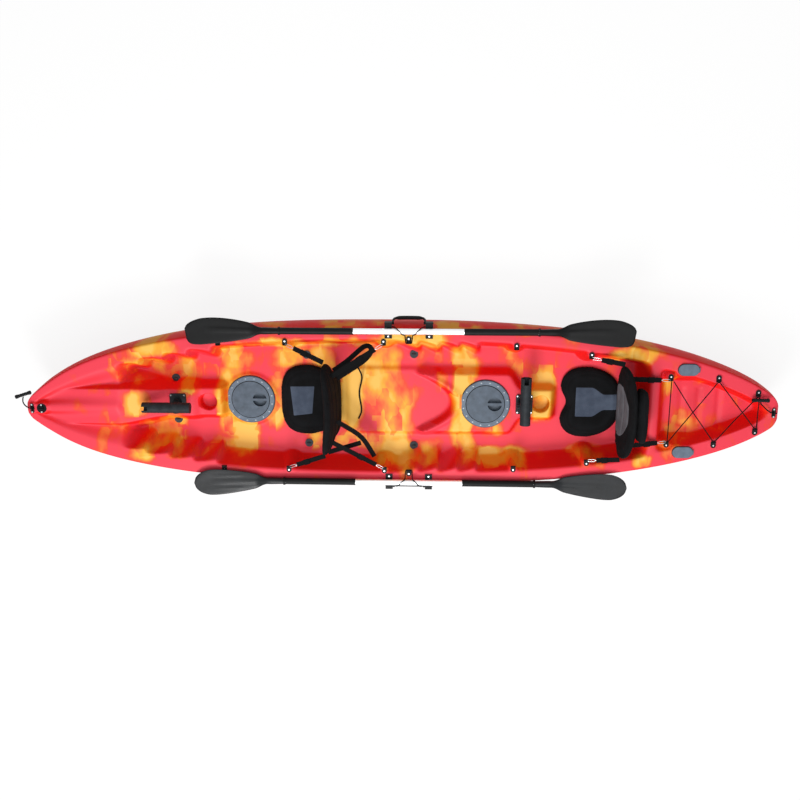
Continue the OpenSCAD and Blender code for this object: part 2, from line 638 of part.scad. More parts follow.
// Deck loops and their screws
loop_h = 4;
arch_r = 10;
arch_wire = 2.2;
arch_off = 17;
module deck_loop() difference() {
    union() {
        cylinder(r = loop_r, h = loop_h);
        translate([-arch_r - arch_wire, -arch_off - 3, 0])
            cube([2*(arch_r + arch_wire), arch_off + 3, loop_h]);
        translate([0, -arch_off, loop_h - 0.5]) rotate([90, 0, 0]) rotate_extrude(angle = 180)
            translate([arch_r, 0]) circle(arch_wire, $fn = 24);
    }
    drill(hole_r, cut, loop_h + cut);
}
module deck_loops() color("#161718") both_sides()
    for (k = [0:len(loop_inset) - 1]) translate(loop_place(k)) deck_loop();
module deck_screws() color("#D0D3D6") both_sides() {
    for (k = [0:len(loop_inset) - 1]) translate(loop_place(k)) screw(loop_h);
    for (x = bracket_x) translate([x, bracket_screw, bracket_z]) screw(bracket_h);
    translate([nose_x, eye_span, nose_z]) screw(eye_h);
    translate([tail_x, eye_span, tail_z]) screw(eye_h);
    translate([drain_x, drain_span, nose_z]) screw(drain_h);
    for (i = [-1, 1]) translate([front_rod_x + i*rod_span[0], rod_span[1], front_rod_z]) screw(rod_base_h);
    for (i = [-1, 1]) translate([-rear_rod_x + i*rod_span[0], rod_span[1], rear_rod_z]) screw(rod_base_h);
}

// Shock cord lacing over the tank well: one cord through six loops
lace_in = arch_off + arch_wire + shock_d/2 + gap;
lace_up = loop_h + 4;
function lace(k, s, dx = 0) = let (p = loop_place(k)) [p[0] + dx, s*(p[1] - lace_in), p[2] + lace_up];
function halfway(a, b, up) = (a + b)/2 + [0, 0, up];
lace_rise = 5;
lace_route = [lace(6, -1, -3), lace(6, 1, -3), lace(6, 1, -9), halfway(lace(6, 1), lace(7, -1), lace_rise),
    lace(7, -1, 4), lace(7, -1, -4), halfway(lace(7, -1), lace(8, 1), lace_rise),
    lace(8, 1, 4), lace(8, 1, -4), lace(8, -1, -4), lace(8, -1, 4),
    halfway(lace(8, -1), lace(7, 1), -lace_rise), lace(7, 1, -4), lace(7, 1, 4),
    halfway(lace(7, 1), lace(6, -1), -lace_rise), lace(6, -1, -14)];
module tank_shock_cord() color("#121314") tube(lace_route, shock_d);

// Scupper plugs
module scupper_plugs() color("#3C4146") both_sides() for (p = scupper_places)
    translate([p[0], p[1], scupper_z(p)]) {
        translate([0, 0, gap]) cylinder(r = scupper_r + 4, h = scupper_flange);
        translate([0, 0, -28]) cylinder(r = scupper_r - 0.4, h = 29);
        translate([0, 0, scupper_flange]) rotate([90, 0, 0]) rotate_extrude(angle = 180)
            translate([9, 0]) circle(2.5, $fn = 24);
    }

// Swivelling rod holders: base, post, tube and lock knob
post_r = 16;
pivot_z = 45;
pivot_r = 6;
rod_z = 90;
rod_back = 82;
rod_out_r = rod_bore_r + rod_wall;
block_w = 18;
block_r = 13;
lug_w = 8;
module rod_base_part() difference() {
    union() {
        plate(rod_base[0], rod_base[1], 10, rod_base_h);
        cylinder(r = post_r + 6, h = rod_base_h + 12);
    }
    translate([0, 0, 3]) cylinder(r = post_r + run_fit, h = 40);
    for (i = [-1, 1], j = [-1, 1]) translate([i*rod_span[0], j*rod_span[1], 0])
        drill(hole_r, cut, rod_base_h + cut);
}
module rod_post_part() difference() {
    union() {
        translate([0, 0, 3 + gap]) cylinder(r = post_r, h = rod_base_h + 16);
        translate([0, 0, rod_base_h + 12 + gap]) cylinder(r = post_r + 4, h = 5);
        translate([-block_r, -block_w/2, rod_base_h + 16])
            cube([2*block_r, block_w, pivot_z - rod_base_h - 16]);
        translate([0, 0, pivot_z]) rotate([90, 0, 0]) cylinder(r = block_r, h = block_w, center = true);
    }
    translate([0, 0, pivot_z]) rotate([90, 0, 0])
        cylinder(r = pivot_r + run_fit, h = block_w + 2*cut, center = true);
}
prong_l = 30;
module rod_tube_part() difference() {
    union() {
        translate([-rod_back, 0, rod_z]) rotate([0, 90, 0]) cylinder(r = rod_out_r, h = rod_len);
        for (s = [-1, 1]) translate([0, s*(block_w/2 + gap + lug_w/2), 0]) {
            translate([0, 0, pivot_z]) rotate([90, 0, 0])
                cylinder(r = block_r + 1, h = lug_w, center = true);
            translate([-block_r - 1, -lug_w/2, pivot_z]) cube([2*block_r + 2, lug_w, rod_z - pivot_z]);
        }
    }
    translate([-rod_back + 4, 0, rod_z]) rotate([0, 90, 0]) cylinder(r = rod_bore_r, h = rod_len);
    translate([rod_len - rod_back - prong_l, -rod_bore_r/2, rod_z])
        cube([prong_l + cut, rod_bore_r, rod_out_r + cut]);
    translate([0, 0, pivot_z]) rotate([90, 0, 0]) cylinder(r = pivot_r + run_fit, h = 80, center = true);
}
knob_y = block_w/2 + lug_w + 2*gap;
module rod_knob_part() translate([0, 0, pivot_z]) rotate([-90, 0, 0]) {
    translate([0, 0, -block_w/2 - lug_w]) cylinder(r = pivot_r, h = knob_y + block_w/2 + lug_w + cut);
    translate([0, 0, knob_y]) cylinder(r = 16, h = 22);
    for (k = [0:7]) rotate(45*k) translate([16, 0, knob_y + 2]) cylinder(r = 3, h = 18);
}
module at_front_rod() translate([front_rod_x, 0, front_rod_z]) children();
module at_rear_rod() translate([-rear_rod_x, 0, rear_rod_z]) children();
module front_rod_base() color("#2B2F33") at_front_rod() rod_base_part();
module front_rod_post() color("#33383D") at_front_rod() rod_post_part();
module front_rod_tube() color("#3B4145") at_front_rod() rod_tube_part();
module front_rod_knob() color("#1D2022") at_front_rod() rod_knob_part();
module rear_rod_base() color("#2B2F33") at_rear_rod() rod_base_part();
module rear_rod_post() color("#33383D") at_rear_rod() rotate(-90) rod_post_part();
module rear_rod_tube() color("#3B4145") at_rear_rod() rotate(-90) rod_tube_part();
module rear_rod_knob() color("#1D2022") at_rear_rod() rotate(-90) rod_knob_part();

// Flush rod holders raked in the side decks, with hinged caps
flush_out_r = rod_bore_r + 3;
cap_t = 5;
cap_hinge = 52;
cap_slack = 9;
cap_plug = 6;
mouth_r = rod_bore_r + 1.5;
mouth_l = 14;
module at_flush() translate([-flush_x, flush_y, flush_z]) children();
module flush_tube() at_flush() difference() {
    union() {
        pill(flush_size[0], flush_size[1], flush_h);
        intersection() {
            rake() drill(flush_out_r, flush_len, 30);
            translate([-200, -50, -2*flush_len]) cube([400, 100, 2*flush_len + cut]);
        }
    }
    rake() {
        drill(rod_bore_r, flush_len - 4, 30);
        drill(mouth_r, mouth_l, 30);
    }
}
module flush_cap() at_flush() translate([0, 0, flush_h + gap]) {
    pill(flush_size[0] - 4, flush_size[1] - 4, cap_t);
    translate([-cap_hinge, 0, cap_t/2]) rotate([90, 0, 0]) cylinder(d = cap_t, h = 24, center = true);
    intersection() {
        translate([0, 0, -flush_h - gap]) rake() drill(rod_bore_r - cap_slack, 10, 20);
        translate([-60, -60, -cap_plug]) cube([120, 120, cap_plug + cut]);
    }
}
module port_rod_socket() color("#3F464D") flush_tube();
module starboard_rod_socket() color("#3F464D") mirror([0, 1, 0]) flush_tube();
module port_rod_cap() color("#5A626B") flush_cap();
module starboard_rod_cap() color("#5A626B") mirror([0, 1, 0]) flush_cap();

// Seats: crowned pads with a waisted back edge, and backrests that fold on them
pad_z = floor_h + gap;
front_pad_x = 289;
rear_pad_front = -794;
rear_pad_x = rear_pad_front - pad_len;
hinge_in = 40;
pad_power = 3;
function pad_edge(a) = let (c = cos(a), s = sin(a))
    1/pow(pow(abs(c), pad_power) + pow(abs(s), pad_power), 1/pad_power)*[c*pad_len/2, s*pad_w/2];
function pad_crown(f) = pad_h*pow(1 - pow(f, 5), 0.5);
pad_rings = [0.22, 0.45, 0.65, 0.8, 0.9, 0.96];
pad_n = 40;
front_notch = 0;
rear_notch = 36;
notch_half = 60;
function pad_point(f, k, notch) = let (p = f*pad_edge(90 + 360*(k + 0.5)/pad_n))
    [p[0] - notch*f*bump(p[1]/notch_half)*sat(p[0]/pad_len*4), p[1]*(1 - 0.2*f*sat(-p[0]/pad_len*2))];
function pad_ring(f, z, notch) = [for (k = [0:pad_n - 1]) let (p = pad_point(f, k, notch)) [p[0], p[1], z]];
module pad(notch) translate([pad_len/2, 0, pad_z]) skin(concat(
    [pad_ring(0.9, 0, notch)], [pad_ring(0.99, 4, notch)], [pad_ring(1, 9, notch)],
    [for (i = [len(pad_rings) - 1:-1:0]) let (f = pad_rings[i])
        pad_ring(f, max(9.5, pad_crown(f)), notch)]));
module front_seat_pad() color("#131416") translate([front_pad_x, 0, 0]) pad(front_notch);
module rear_seat_pad() color("#131416") translate([rear_pad_x, 0, 0]) pad(rear_notch);

hinge_z = pad_z + pad_crown(1 - 2*(hinge_in - back_t/2)/pad_len) + 6*gap;
back_rise = [0, 0.03, 0.12, 0.3, 0.5, 0.7, 0.85, 0.95, 1];
back_n = 32;
wing = 34;
function back_half(s) = back_w/2*(0.62 + 0.38*ease(s/0.6))*pow(1 - pow(s, 8)*0.35, 1);
function back_thick(s) = back_t/2*pow(1 - pow(abs(2*s - 1), 6)*0.75, 1);
function back_ring(s, lean) = [for (k = [0:back_n - 1]) let (a = 90 + 360*(k + 0.5)/back_n,
    c = cos(a), n = sin(a), r = 1/pow(pow(abs(c), 4) + pow(abs(n), 4), 0.25), y = r*n*back_half(s))
    [r*c*back_thick(s) - back_t/2 + wing*pow(y/back_w*2, 2)*ease(s/0.35) + s*back_h*tan(lean),
    y, s*back_h]];
module backrest(lean) skin([for (s = back_rise) back_ring(s, lean)]);
front_lean = 8;
rear_lean = -8;
front_hinge_x = front_pad_x + hinge_in;
rear_hinge_x = rear_pad_x + hinge_in;
module front_backrest() color("#17181A") translate([front_hinge_x, 0, hinge_z]) backrest(front_lean);
module rear_backrest() color("#17181A") translate([rear_hinge_x, 0, hinge_z]) backrest(rear_lean);
// Storage pocket on the back of the rear seat
pocket = [46, 270, 120];
pocket_up = 160;
pocket_r = 18;
pocket_x = rear_hinge_x - back_t + tan(rear_lean)*pocket_up - gap - pocket[0]/2;
module rear_pocket() color("#0F1011") translate([pocket_x, 0, hinge_z + pocket_up])
    rotate([0, rear_lean, 0]) plate(pocket[0], pocket[1], pocket_r, pocket[2]);

// Webbing from the backrests to the deck loops, each strap ending in a snap hook
hook_l = 46;
hook_w = 15;
hook_t = 3;
web_t = 2;
strap_up = 170;
hook_lift = 3.7;
hook_in = 7.5;
leg_x = sqrt(arch_r*arch_r - pow(hook_lift + 0.5, 2));
// A hook starts just past the loop's leg that it is clipped round
function hook_start(k, dir, b) = let (leg = loop_place(k) + [dir*leg_x, -arch_off, loop_h + hook_lift])
    leg - hook_in*unit(b - leg);
function strap_end(hx, lean, dx, dy) = [hx + tan(lean)*strap_up + dx, dy, hinge_z + strap_up];
module snap_hook(a, b) aim(a, b) translate([hook_l/2, 0, -hook_t/2]) difference() {
    pill(hook_l, hook_w, hook_t);
    translate([0, 0, -cut]) pill(hook_l - 8, hook_w - 7, hook_t + 2*cut);
}
module strap(a, b) aim(a, b) translate([hook_l + gap, -web_w/2, -web_t/2])
    cube([norm(b - a) - hook_l - gap, web_w, web_t]);
fore_reach = back_w/2 + 4;
aft_reach = 170;
front_tie = [14, 1.5];
rear_tie = [12, 3.6];
aft_tie = 15.7;
front_fore_end = strap_end(front_hinge_x, front_lean, front_tie[0], fore_reach + front_tie[1]);
front_aft_end = strap_end(front_hinge_x, front_lean, -back_t + aft_tie, aft_reach);
rear_fore_end = strap_end(rear_hinge_x, rear_lean, rear_tie[0], fore_reach + rear_tie[1]);
rear_aft_end = strap_end(rear_hinge_x, rear_lean, -back_t + aft_tie, aft_reach);
front_fore = [hook_start(1, -1, front_fore_end), front_fore_end];
front_aft = [hook_start(2, 1, front_aft_end), front_aft_end];
rear_fore = [hook_start(5, -1, rear_fore_end), rear_fore_end];
rear_aft = [hook_start(6, 1, rear_aft_end), rear_aft_end];
front_runs = [front_fore, front_aft];
rear_runs = [rear_fore, rear_aft];
module front_seat_straps() color("#0E0F10") both_sides() for (r = front_runs) strap(r[0], r[1]);
module front_seat_hooks() color("#C4C8CC") both_sides() for (r = front_runs) snap_hook(r[0], r[1]);
module rear_seat_straps() color("#0E0F10") both_sides() for (r = rear_runs) strap(r[0], r[1]);
module rear_seat_hooks() color("#C4C8CC") both_sides() for (r = rear_runs) snap_hook(r[0], r[1]);

// Paddles: two shaft halves joined at a ferrule with a spring button
paddle_x = handle_mid;
joint_x = 50;
spigot_l = 90;
spigot_in = 30;
spigot_wall = 2;
spigot_r = shaft_r - shaft_wall - run_fit;
socket_l = 95;
neck_l = 30;
socket_r = shaft_r + 2.5;
shaft_end = paddle_len/2 - blade_len + neck_l;
button_x = joint_x + 74;
button_r = 3;
feather = 60;
slot_over = 13;
slot_fit = 0.2;
grip_from = 270;
grip_t = 1.6;
socket_x = shaft_end - socket_l + neck_l;
ring_w = 9;
ring_x = socket_x - ring_w - 3;
drip_r = 20;
module on_shaft(x, len) translate([x, 0, 0]) rotate([0, 90, 0]) linear_extrude(len) children();
module hoop(a, b) difference() {
    circle(a);
    circle(b);
}
module shaft_fore() difference() {
    on_shaft(joint_x + gap, shaft_end - joint_x - gap) hoop(shaft_r, shaft_r - shaft_wall);
    // Slot that the button slides in when the blades are feathered
    translate([button_x - button_r - slot_fit, 0, 0]) rotate([90, 0, 90]) rotate(90 - feather - slot_over)
        rotate_extrude(angle = feather + 2*slot_over) translate([spigot_r, 0])
            square([6, 2*(button_r + slot_fit)]);
}
module shaft_aft() difference() {
    union() {
        translate([-shaft_end, 0, 0]) on_shaft(0, shaft_end + joint_x) hoop(shaft_r, shaft_r - shaft_wall);
        on_shaft(joint_x - cut, spigot_l + cut) hoop(spigot_r, spigot_r - spigot_wall);
        on_shaft(joint_x - spigot_in, spigot_in) hoop(shaft_r - shaft_wall + 0.2, spigot_r - spigot_wall);
    }
    translate([button_x, 0, 0]) cylinder(r = button_r + run_fit, h = shaft_r + 5);
}
module button() translate([button_x, 0, spigot_r - 6]) cylinder(r = button_r, h = shaft_r - spigot_r + 8);
blade_n = 12;
blade_m = 8;
function blade_half(u) = blade_w/2*pow(sat(u*1.25), 0.42)*pow(sat(1 - pow(u, 7)), 0.5);
function blade_ring(u, out) = let (x = u*(blade_len - 40), h = max(9, blade_half(u)), t = 2.2 + 4*(1 - u),
    z = 16*u*u) concat(
    [for (j = [0:blade_m]) let (v = 1 - 2*j/blade_m) [x, v*h + out*10*u, z + 5*v*v + t*(1 - v*v) + 0.6]],
    [for (j = [blade_m:-1:0]) let (v = 1 - 2*j/blade_m)
        [x, v*h + out*10*u, z + 5*v*v - t*(1 - v*v)*0.6 - 0.6]]);
module blade(out) {
    difference() {
        union() {
            translate([socket_x, 0, 0]) on_shaft(0, socket_l) circle(socket_r);
            translate([shaft_end + 8, 0, 0])
                skin([for (i = [0:blade_n]) blade_ring(pow(i/blade_n, 0.9), out)]);
        }
        on_shaft(shaft_end - 200, 200) circle(shaft_r + run_fit);
    }
}
module grip_sleeve() {
    on_shaft(grip_from, ring_x - grip_from) hoop(shaft_r + grip_t, shaft_r + run_fit);
    on_shaft(ring_x + gap, ring_w) hoop(drip_r, shaft_r + run_fit);
}
module at_port_paddle() translate([paddle_x, paddle_y, paddle_z]) children();
module at_starboard_paddle() mirror([0, 1, 0]) at_port_paddle() children();
module port_paddle_shaft_fore() color("#C9CCD0") at_port_paddle() shaft_fore();
module port_paddle_shaft_aft() color("#C9CCD0") at_port_paddle() shaft_aft();
module port_paddle_blade_fore() color("#2A2C2F") at_port_paddle() blade(1);
module port_paddle_blade_aft() color("#2A2C2F") at_port_paddle() mirror([1, 0, 0]) blade(1);
module port_paddle_grip_fore() color("#161718") at_port_paddle() grip_sleeve();
module port_paddle_grip_aft() color("#161718") at_port_paddle() mirror([1, 0, 0]) grip_sleeve();
module port_paddle_button() color("#B8BCC0") at_port_paddle() button();
module starboard_paddle_shaft_fore() color("#C9CCD0") at_starboard_paddle() shaft_fore();
module starboard_paddle_shaft_aft() color("#C9CCD0") at_starboard_paddle() shaft_aft();
module starboard_paddle_blade_fore() color("#17181A") at_starboard_paddle() blade(1);
module starboard_paddle_blade_aft() color("#17181A") at_starboard_paddle() mirror([1, 0, 0]) blade(1);
module starboard_paddle_grip_fore() color("#161718") at_starboard_paddle() grip_sleeve();
module starboard_paddle_grip_aft() color("#161718") at_starboard_paddle() mirror([1, 0, 0]) grip_sleeve();
module starboard_paddle_button() color("#B8BCC0") at_starboard_paddle() button();

hull();
front_hatch_ring();
front_hatch_seal();
front_hatch_lid();
rear_hatch_ring();
rear_hatch_seal();
rear_hatch_lid();
hatch_screws();
drain_flange();
drain_gasket();
drain_plug();
padeyes();
bow_cord();
bow_toggle();
stern_cord();
stern_toggle();
side_brackets();
port_handle();
starboard_handle();
port_paddle_keeper();
starboard_paddle_keeper();
deck_loops();
deck_screws();
tank_shock_cord();
scupper_plugs();
front_rod_base();
front_rod_post();
front_rod_tube();
front_rod_knob();
rear_rod_base();
rear_rod_post();
rear_rod_tube();
rear_rod_knob();
port_rod_socket();
port_rod_cap();
starboard_rod_socket();
starboard_rod_cap();
front_seat_pad();
front_backrest();
front_seat_straps();
front_seat_hooks();
rear_seat_pad();
rear_backrest();
rear_pocket();
rear_seat_straps();
rear_seat_hooks();
port_paddle_shaft_fore();
port_paddle_shaft_aft();
port_paddle_blade_fore();
port_paddle_blade_aft();
port_paddle_grip_fore();
port_paddle_grip_aft();
port_paddle_button();
starboard_paddle_shaft_fore();
starboard_paddle_shaft_aft();
starboard_paddle_blade_fore();
starboard_paddle_blade_aft();
starboard_paddle_grip_fore();
starboard_paddle_grip_aft();
starboard_paddle_button();
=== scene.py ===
# %% [markdown]
# This lesson dresses a two-seat sit-on-top kayak. Its solids come from CAD in metres, X to the bow,
# Y to port and Z up, and the pieces made here go where those solids are. What the CAD already gives
# well, such as rings, screws and tubes, only gets a material.

import bmesh
import bpy
import numpy as np
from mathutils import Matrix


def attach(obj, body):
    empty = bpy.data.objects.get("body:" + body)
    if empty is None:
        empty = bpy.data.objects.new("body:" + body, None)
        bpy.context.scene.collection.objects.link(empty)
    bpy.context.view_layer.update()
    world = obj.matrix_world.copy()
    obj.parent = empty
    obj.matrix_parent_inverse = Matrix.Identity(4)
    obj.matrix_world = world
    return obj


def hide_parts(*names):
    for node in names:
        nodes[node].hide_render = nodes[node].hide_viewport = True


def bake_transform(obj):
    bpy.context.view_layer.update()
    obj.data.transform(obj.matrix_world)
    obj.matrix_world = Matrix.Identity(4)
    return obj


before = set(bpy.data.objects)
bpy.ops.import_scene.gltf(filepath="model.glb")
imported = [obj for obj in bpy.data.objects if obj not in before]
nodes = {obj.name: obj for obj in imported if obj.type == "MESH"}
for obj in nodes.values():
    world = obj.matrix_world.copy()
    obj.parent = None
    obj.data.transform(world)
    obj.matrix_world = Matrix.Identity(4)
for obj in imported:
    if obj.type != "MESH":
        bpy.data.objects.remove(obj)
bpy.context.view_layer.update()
scene = bpy.context.scene
print("CAD nodes:", len(nodes))

# %% [markdown]
# The camera looks down, a little from the starboard side, with the bow to the left. Known points of
# the boat, such as the tips and the hatches, were fitted to where they appear. That gave three angles,
# a distance and a focal length in pixels, and the axes of the view follow from them.

# %% Camera
def unit(v):
    """v divided by its length."""
    v = np.asarray(v, float)
    return v/np.linalg.norm(v)

def stand(thing, right, up, back, at):
    """Links an object to the scene, with its local axes and its place as given."""
    pose = np.eye(4)
    pose[:3] = np.stack([right, up, back, at], -1)
    thing.matrix_world = pose.T.tolist()
    scene.collection.objects.link(thing)

tilt, yaw, roll = np.radians([16.08, 2.52, -0.54])
target, distance = np.array([-0.005, -0.029, 0.25]), 4.972
focal_px, photo_px, sensor_mm = 993, 800, 36
away = np.array([-np.sin(yaw)*np.cos(tilt), -np.sin(tilt), np.cos(tilt)*np.cos(yaw)])
eye = target + distance*away
aft = np.array([-1, 0, 0])
across = unit(aft + away*(aft @ -away))
down = np.cross(-away, across)
right = across*np.cos(roll) + down*np.sin(roll)
below = -across*np.sin(roll) + down*np.cos(roll)
camera = bpy.data.objects.new("camera", bpy.data.cameras.new("camera"))
camera.data.sensor_width = sensor_mm
camera.data.lens = focal_px/photo_px*sensor_mm
stand(camera, right, -below, unit(away), eye)
scene.camera = camera
scene.view_settings.view_transform = "Standard"
print("camera at", eye.round(3))

# %% [markdown]
# Every finish is a small tree of shader nodes. One helper adds a node, sets it and links it, and one
# function turns the sRGB colours that people write as hex into the linear values that light needs.

# %% Helpers for materials
def linear(code):
    """sRGB hex to linear: c/12.92 in the dark part, ((c + 0.055)/1.055)^2.4 above it."""
    c = np.array([int(code[i:i + 2], 16) for i in (1, 3, 5)])/255
    return (*np.where(c <= 0.04045, c/12.92, ((c + 0.055)/1.055)**2.4).tolist(), 1.0)

def feed(tree, node, inputs):
    """Links the sockets among the inputs to a node, and sets the plain values."""
    for key, value in inputs.items():
        if isinstance(value, bpy.types.NodeSocket):
            tree.links.new(value, node.inputs[key])
        else:
            node.inputs[key].default_value = value

def add(tree, kind, inputs=None, stops=(), out=0, **settings):
    """Adds a node and hands back an output, or all of them for None; stops are a ramp's (position, hex)."""
    made = tree.nodes.new("ShaderNode" + kind)
    for k, (at, code) in enumerate(stops):
        ends = made.color_ramp.elements
        end = ends[k] if k < len(ends) else ends.new(at)
        end.position, end.color = at, linear(code)
    for key, value in settings.items():
        setattr(made, key, value)
    feed(tree, made, inputs or {})
    return made.outputs if out is None else made.outputs[out]

def start(name):
    """A new material with its tree, its surface shader and its Object coordinates."""
    made = bpy.data.materials.new(name)
    made.use_nodes = True
    tree = made.node_tree
    place = add(tree, "TexCoord", out="Object")
    return made, tree, tree.nodes["Principled BSDF"], place

# %% [markdown]
# The hull is polyethylene, melted in a turning mould with coloured powders thrown in by hand. Red,
# orange and yellow lie in soft cloudy patches. Each vertex carries a share of yellow from a few broad
# patches, and noise of about 130 mm and 45 mm and cells of about 70 mm fray their edges. Shade is
# painted in too: each vertex carries how steep it is, and walls take deeper colours as painted shade,
# flats pinker ones as painted highlight. Moulding leaves a waxy satin skin with a faint orange peel,
# drawn here at 4 mm.

# %% Blended polyethylene of the hull
hull_plastic, tree, skin, place = start("rotomoulded_polyethylene")
share = add(tree, "Attribute", out="Fac", attribute_name="yellow_share")
steep = add(tree, "Attribute", out="Fac", attribute_name="steep")
stretch = add(tree, "Mapping", {"Vector": place, "Scale": (1.0, 0.6, 0.6)})
broad = add(tree, "TexNoise", {"Vector": stretch, "Scale": 1/0.13, "Detail": 1})
fray = add(tree, "TexNoise", {"Vector": stretch, "Scale": 1/0.045, "Detail": 2})
cells = add(tree, "TexVoronoi", {"Vector": stretch, "Scale": 1/0.07}, out="Color", distance="CHEBYCHEV")
mixed = share
for layer, weight in ((broad, 0.85), (cells, 0.2), (fray, 0.24)):
    mixed = add(tree, "Math", {0: layer, 1: weight, 2: mixed}, operation="MULTIPLY_ADD")
# Painted light and shade: flats take the pinker colours as painted highlight, and walls take the deeper,
# darker ones as painted shade, mixed by how steep each face is.
steps = (0.70, 0.78, 0.86, 0.94, 1.0)
painted_light_flat_colours = ("#DC3A4A", "#DC432E", "#DE7436", "#E29E30", "#E6B252")
painted_shade_wall_colours = ("#E21C1A", "#E42E14", "#E65818", "#E2801A", "#E0962C")
flat, wall = [add(tree, "ValToRGB", {"Fac": mixed}, zip(steps, codes)) for codes in (painted_light_flat_colours, painted_shade_wall_colours)]
colour = add(tree, "Mix", {"Factor": steep, "A": flat, "B": wall}, out="Result", data_type="RGBA")
gloss = add(tree, "MapRange", {"Value": steep, "To Min": 0.16, "To Max": 0.05})
haze = add(tree, "MapRange", {"Value": fray, "To Min": 0.4, "To Max": 0.52})
peel = add(tree, "TexNoise", {"Vector": place, "Scale": 1/0.004, "Detail": 2})
bumped = add(tree, "Bump", {"Height": peel, "Strength": 0.06, "Distance": 0.001})
feed(tree, skin, {"Base Color": colour, "Specular IOR Level": gloss, "Roughness": haze, "Normal": bumped})
print("made", hull_plastic.name)

# %% [markdown]
# The fittings are moulded too, in nylon and polypropylene with a spark-eroded grain of about 1 mm.
# The same short recipe serves each colour: a grain for the bump, and a slower cloud that varies the
# shade a little, as handling and sun do.

# %% Moulded fittings
def vary(tree, skin, noise, dark, pale, low, high):
    """The colour goes from dark to pale with the noise, and the roughness from low to high."""
    shade = add(tree, "ValToRGB", {"Fac": noise}, [(0.3, dark), (0.7, pale)])
    rough = add(tree, "MapRange", {"Value": noise, "To Min": low, "To Max": high})
    feed(tree, skin, {"Base Color": shade, "Roughness": rough})

def moulded(name, dark, pale, roughness, grain=0.0012, strength=0.25, shine=0.12):
    """Grained plastic: shade = mix(dark, pale, cloud of 30 mm), bump = noise of one grain."""
    made, tree, skin, place = start(name)
    cloud = add(tree, "TexNoise", {"Vector": place, "Scale": 1/0.03, "Detail": 4})
    vary(tree, skin, cloud, dark, pale, roughness - 0.06, roughness + 0.08)
    fine = add(tree, "TexNoise", {"Vector": place, "Scale": 1/grain, "Detail": 2})
    bumped = add(tree, "Bump", {"Height": fine, "Strength": strength, "Distance": 0.0004})
    feed(tree, skin, {"Normal": bumped, "Specular IOR Level": shine})
    return made

slate = moulded("slate_polypropylene", "#4A5664", "#5F6C7B", 0.42, shine=0.3)
dark_slate = moulded("dark_slate_polypropylene", "#37424E", "#4A5664", 0.45, shine=0.3)
black_nylon = moulded("black_glass_filled_nylon", "#0B0C0D", "#141517", 0.45)
rod_nylon = moulded("dark_grey_nylon", "#1B1E21", "#2A2E32", 0.48)
rubber = moulded("black_epdm_rubber", "#18191A", "#232425", 0.72, 0.002, 0.35)
plug_rubber = moulded("grey_epdm_rubber", "#34383C", "#43484D", 0.7, 0.002, 0.35)
sleeve = moulded("black_shrink_sleeve", "#0B0C0C", "#131414", 0.5, 0.0016, 0.3)
blade_black = moulded("black_polypropylene", "#060607", "#0C0D0E", 0.36)
blade_grey = moulded("grey_polypropylene", "#0D0F11", "#16191C", 0.3, shine=0.2)
print("made", slate.name, "and eight more plastics")

# %% [markdown]
# Two metals show: stainless screws and hooks, turned or bent and polished, and the paddle shafts of
# drawn aluminium. Drawing leaves fine lines along the tube, so the noise is stretched along X. Lines
# of 0.3 mm would vanish at this distance, so they are drawn 1 mm wide.

# %% Metals
def metal(name, dark, pale, roughness, spacing, stretched):
    """Polished or drawn metal: the noise is stretched along X to make lines."""
    made, tree, skin, place = start(name)
    lines = add(tree, "Mapping", {"Vector": place, "Scale": (1/stretched, 1, 1)})
    drawn = add(tree, "TexNoise", {"Vector": lines, "Scale": 1/spacing, "Detail": 3})
    vary(tree, skin, drawn, dark, pale, roughness - 0.05, roughness + 0.08)
    skin.inputs["Metallic"].default_value = 1.0
    return made

stainless = metal("polished_stainless_steel", "#B8BBBE", "#D6D8DA", 0.25, 0.002, 1)
dull_steel = metal("passivated_stainless_steel", "#5E6368", "#83888D", 0.4, 0.002, 1)
aluminium = metal("drawn_aluminium", "#E2E3E5", "#F6F6F7", 0.42, 0.001, 60)
print("made", stainless.name, aluminium.name)

# %% [markdown]
# Cloth comes as braided cord, flat webbing and the cover of the seats. A braid and a webbing follow
# their piece, so their patterns read its UV map, which holds metres along and across. The seat cover
# is a plain weave of about 0.6 mm, drawn at 2 mm to show, with a grey mesh panel sewn in: each vertex
# holds its distance to the panel's edge, and the seam is where that distance is nought.

# %% Woven materials
def threads(tree, spot, *pitches):
    """sin(2π·coordinate/pitch) along the first axes of a spot, one for each pitch."""
    axes = add(tree, "SeparateXYZ", {"Vector": spot}, out=None)
    turns = [add(tree, "Math", {0: axes[k], 1: 2*np.pi/pitch}, operation="MULTIPLY")
             for k, pitch in enumerate(pitches)]
    return [add(tree, "Math", {0: turn}, operation="SINE") for turn in turns]

def woven(name, dark, pale, along, across):
    """Threads over and under: height = sin(along)·sin(across) on the piece's UV map in metres."""
    made, tree, skin, _ = start(name)
    waves = threads(tree, add(tree, "UVMap", uv_map="metres"), along, across)
    weave = add(tree, "Math", {0: waves[0], 1: waves[1]}, operation="MULTIPLY")
    level = add(tree, "MapRange", {"Value": weave, "From Min": -1.0})
    shade = add(tree, "ValToRGB", {"Fac": level}, [(0.2, dark), (0.8, pale)])
    bumped = add(tree, "Bump", {"Height": level, "Strength": 0.6, "Distance": 0.0006})
    feed(tree, skin, {"Base Color": shade, "Normal": bumped, "Roughness": 0.85, "Specular IOR Level": 0.1})
    return made

braid = woven("braided_shock_cord", "#060607", "#141516", 0.006, 0.005)
webbing = woven("polyester_webbing", "#050506", "#101112", 0.004, 0.003)

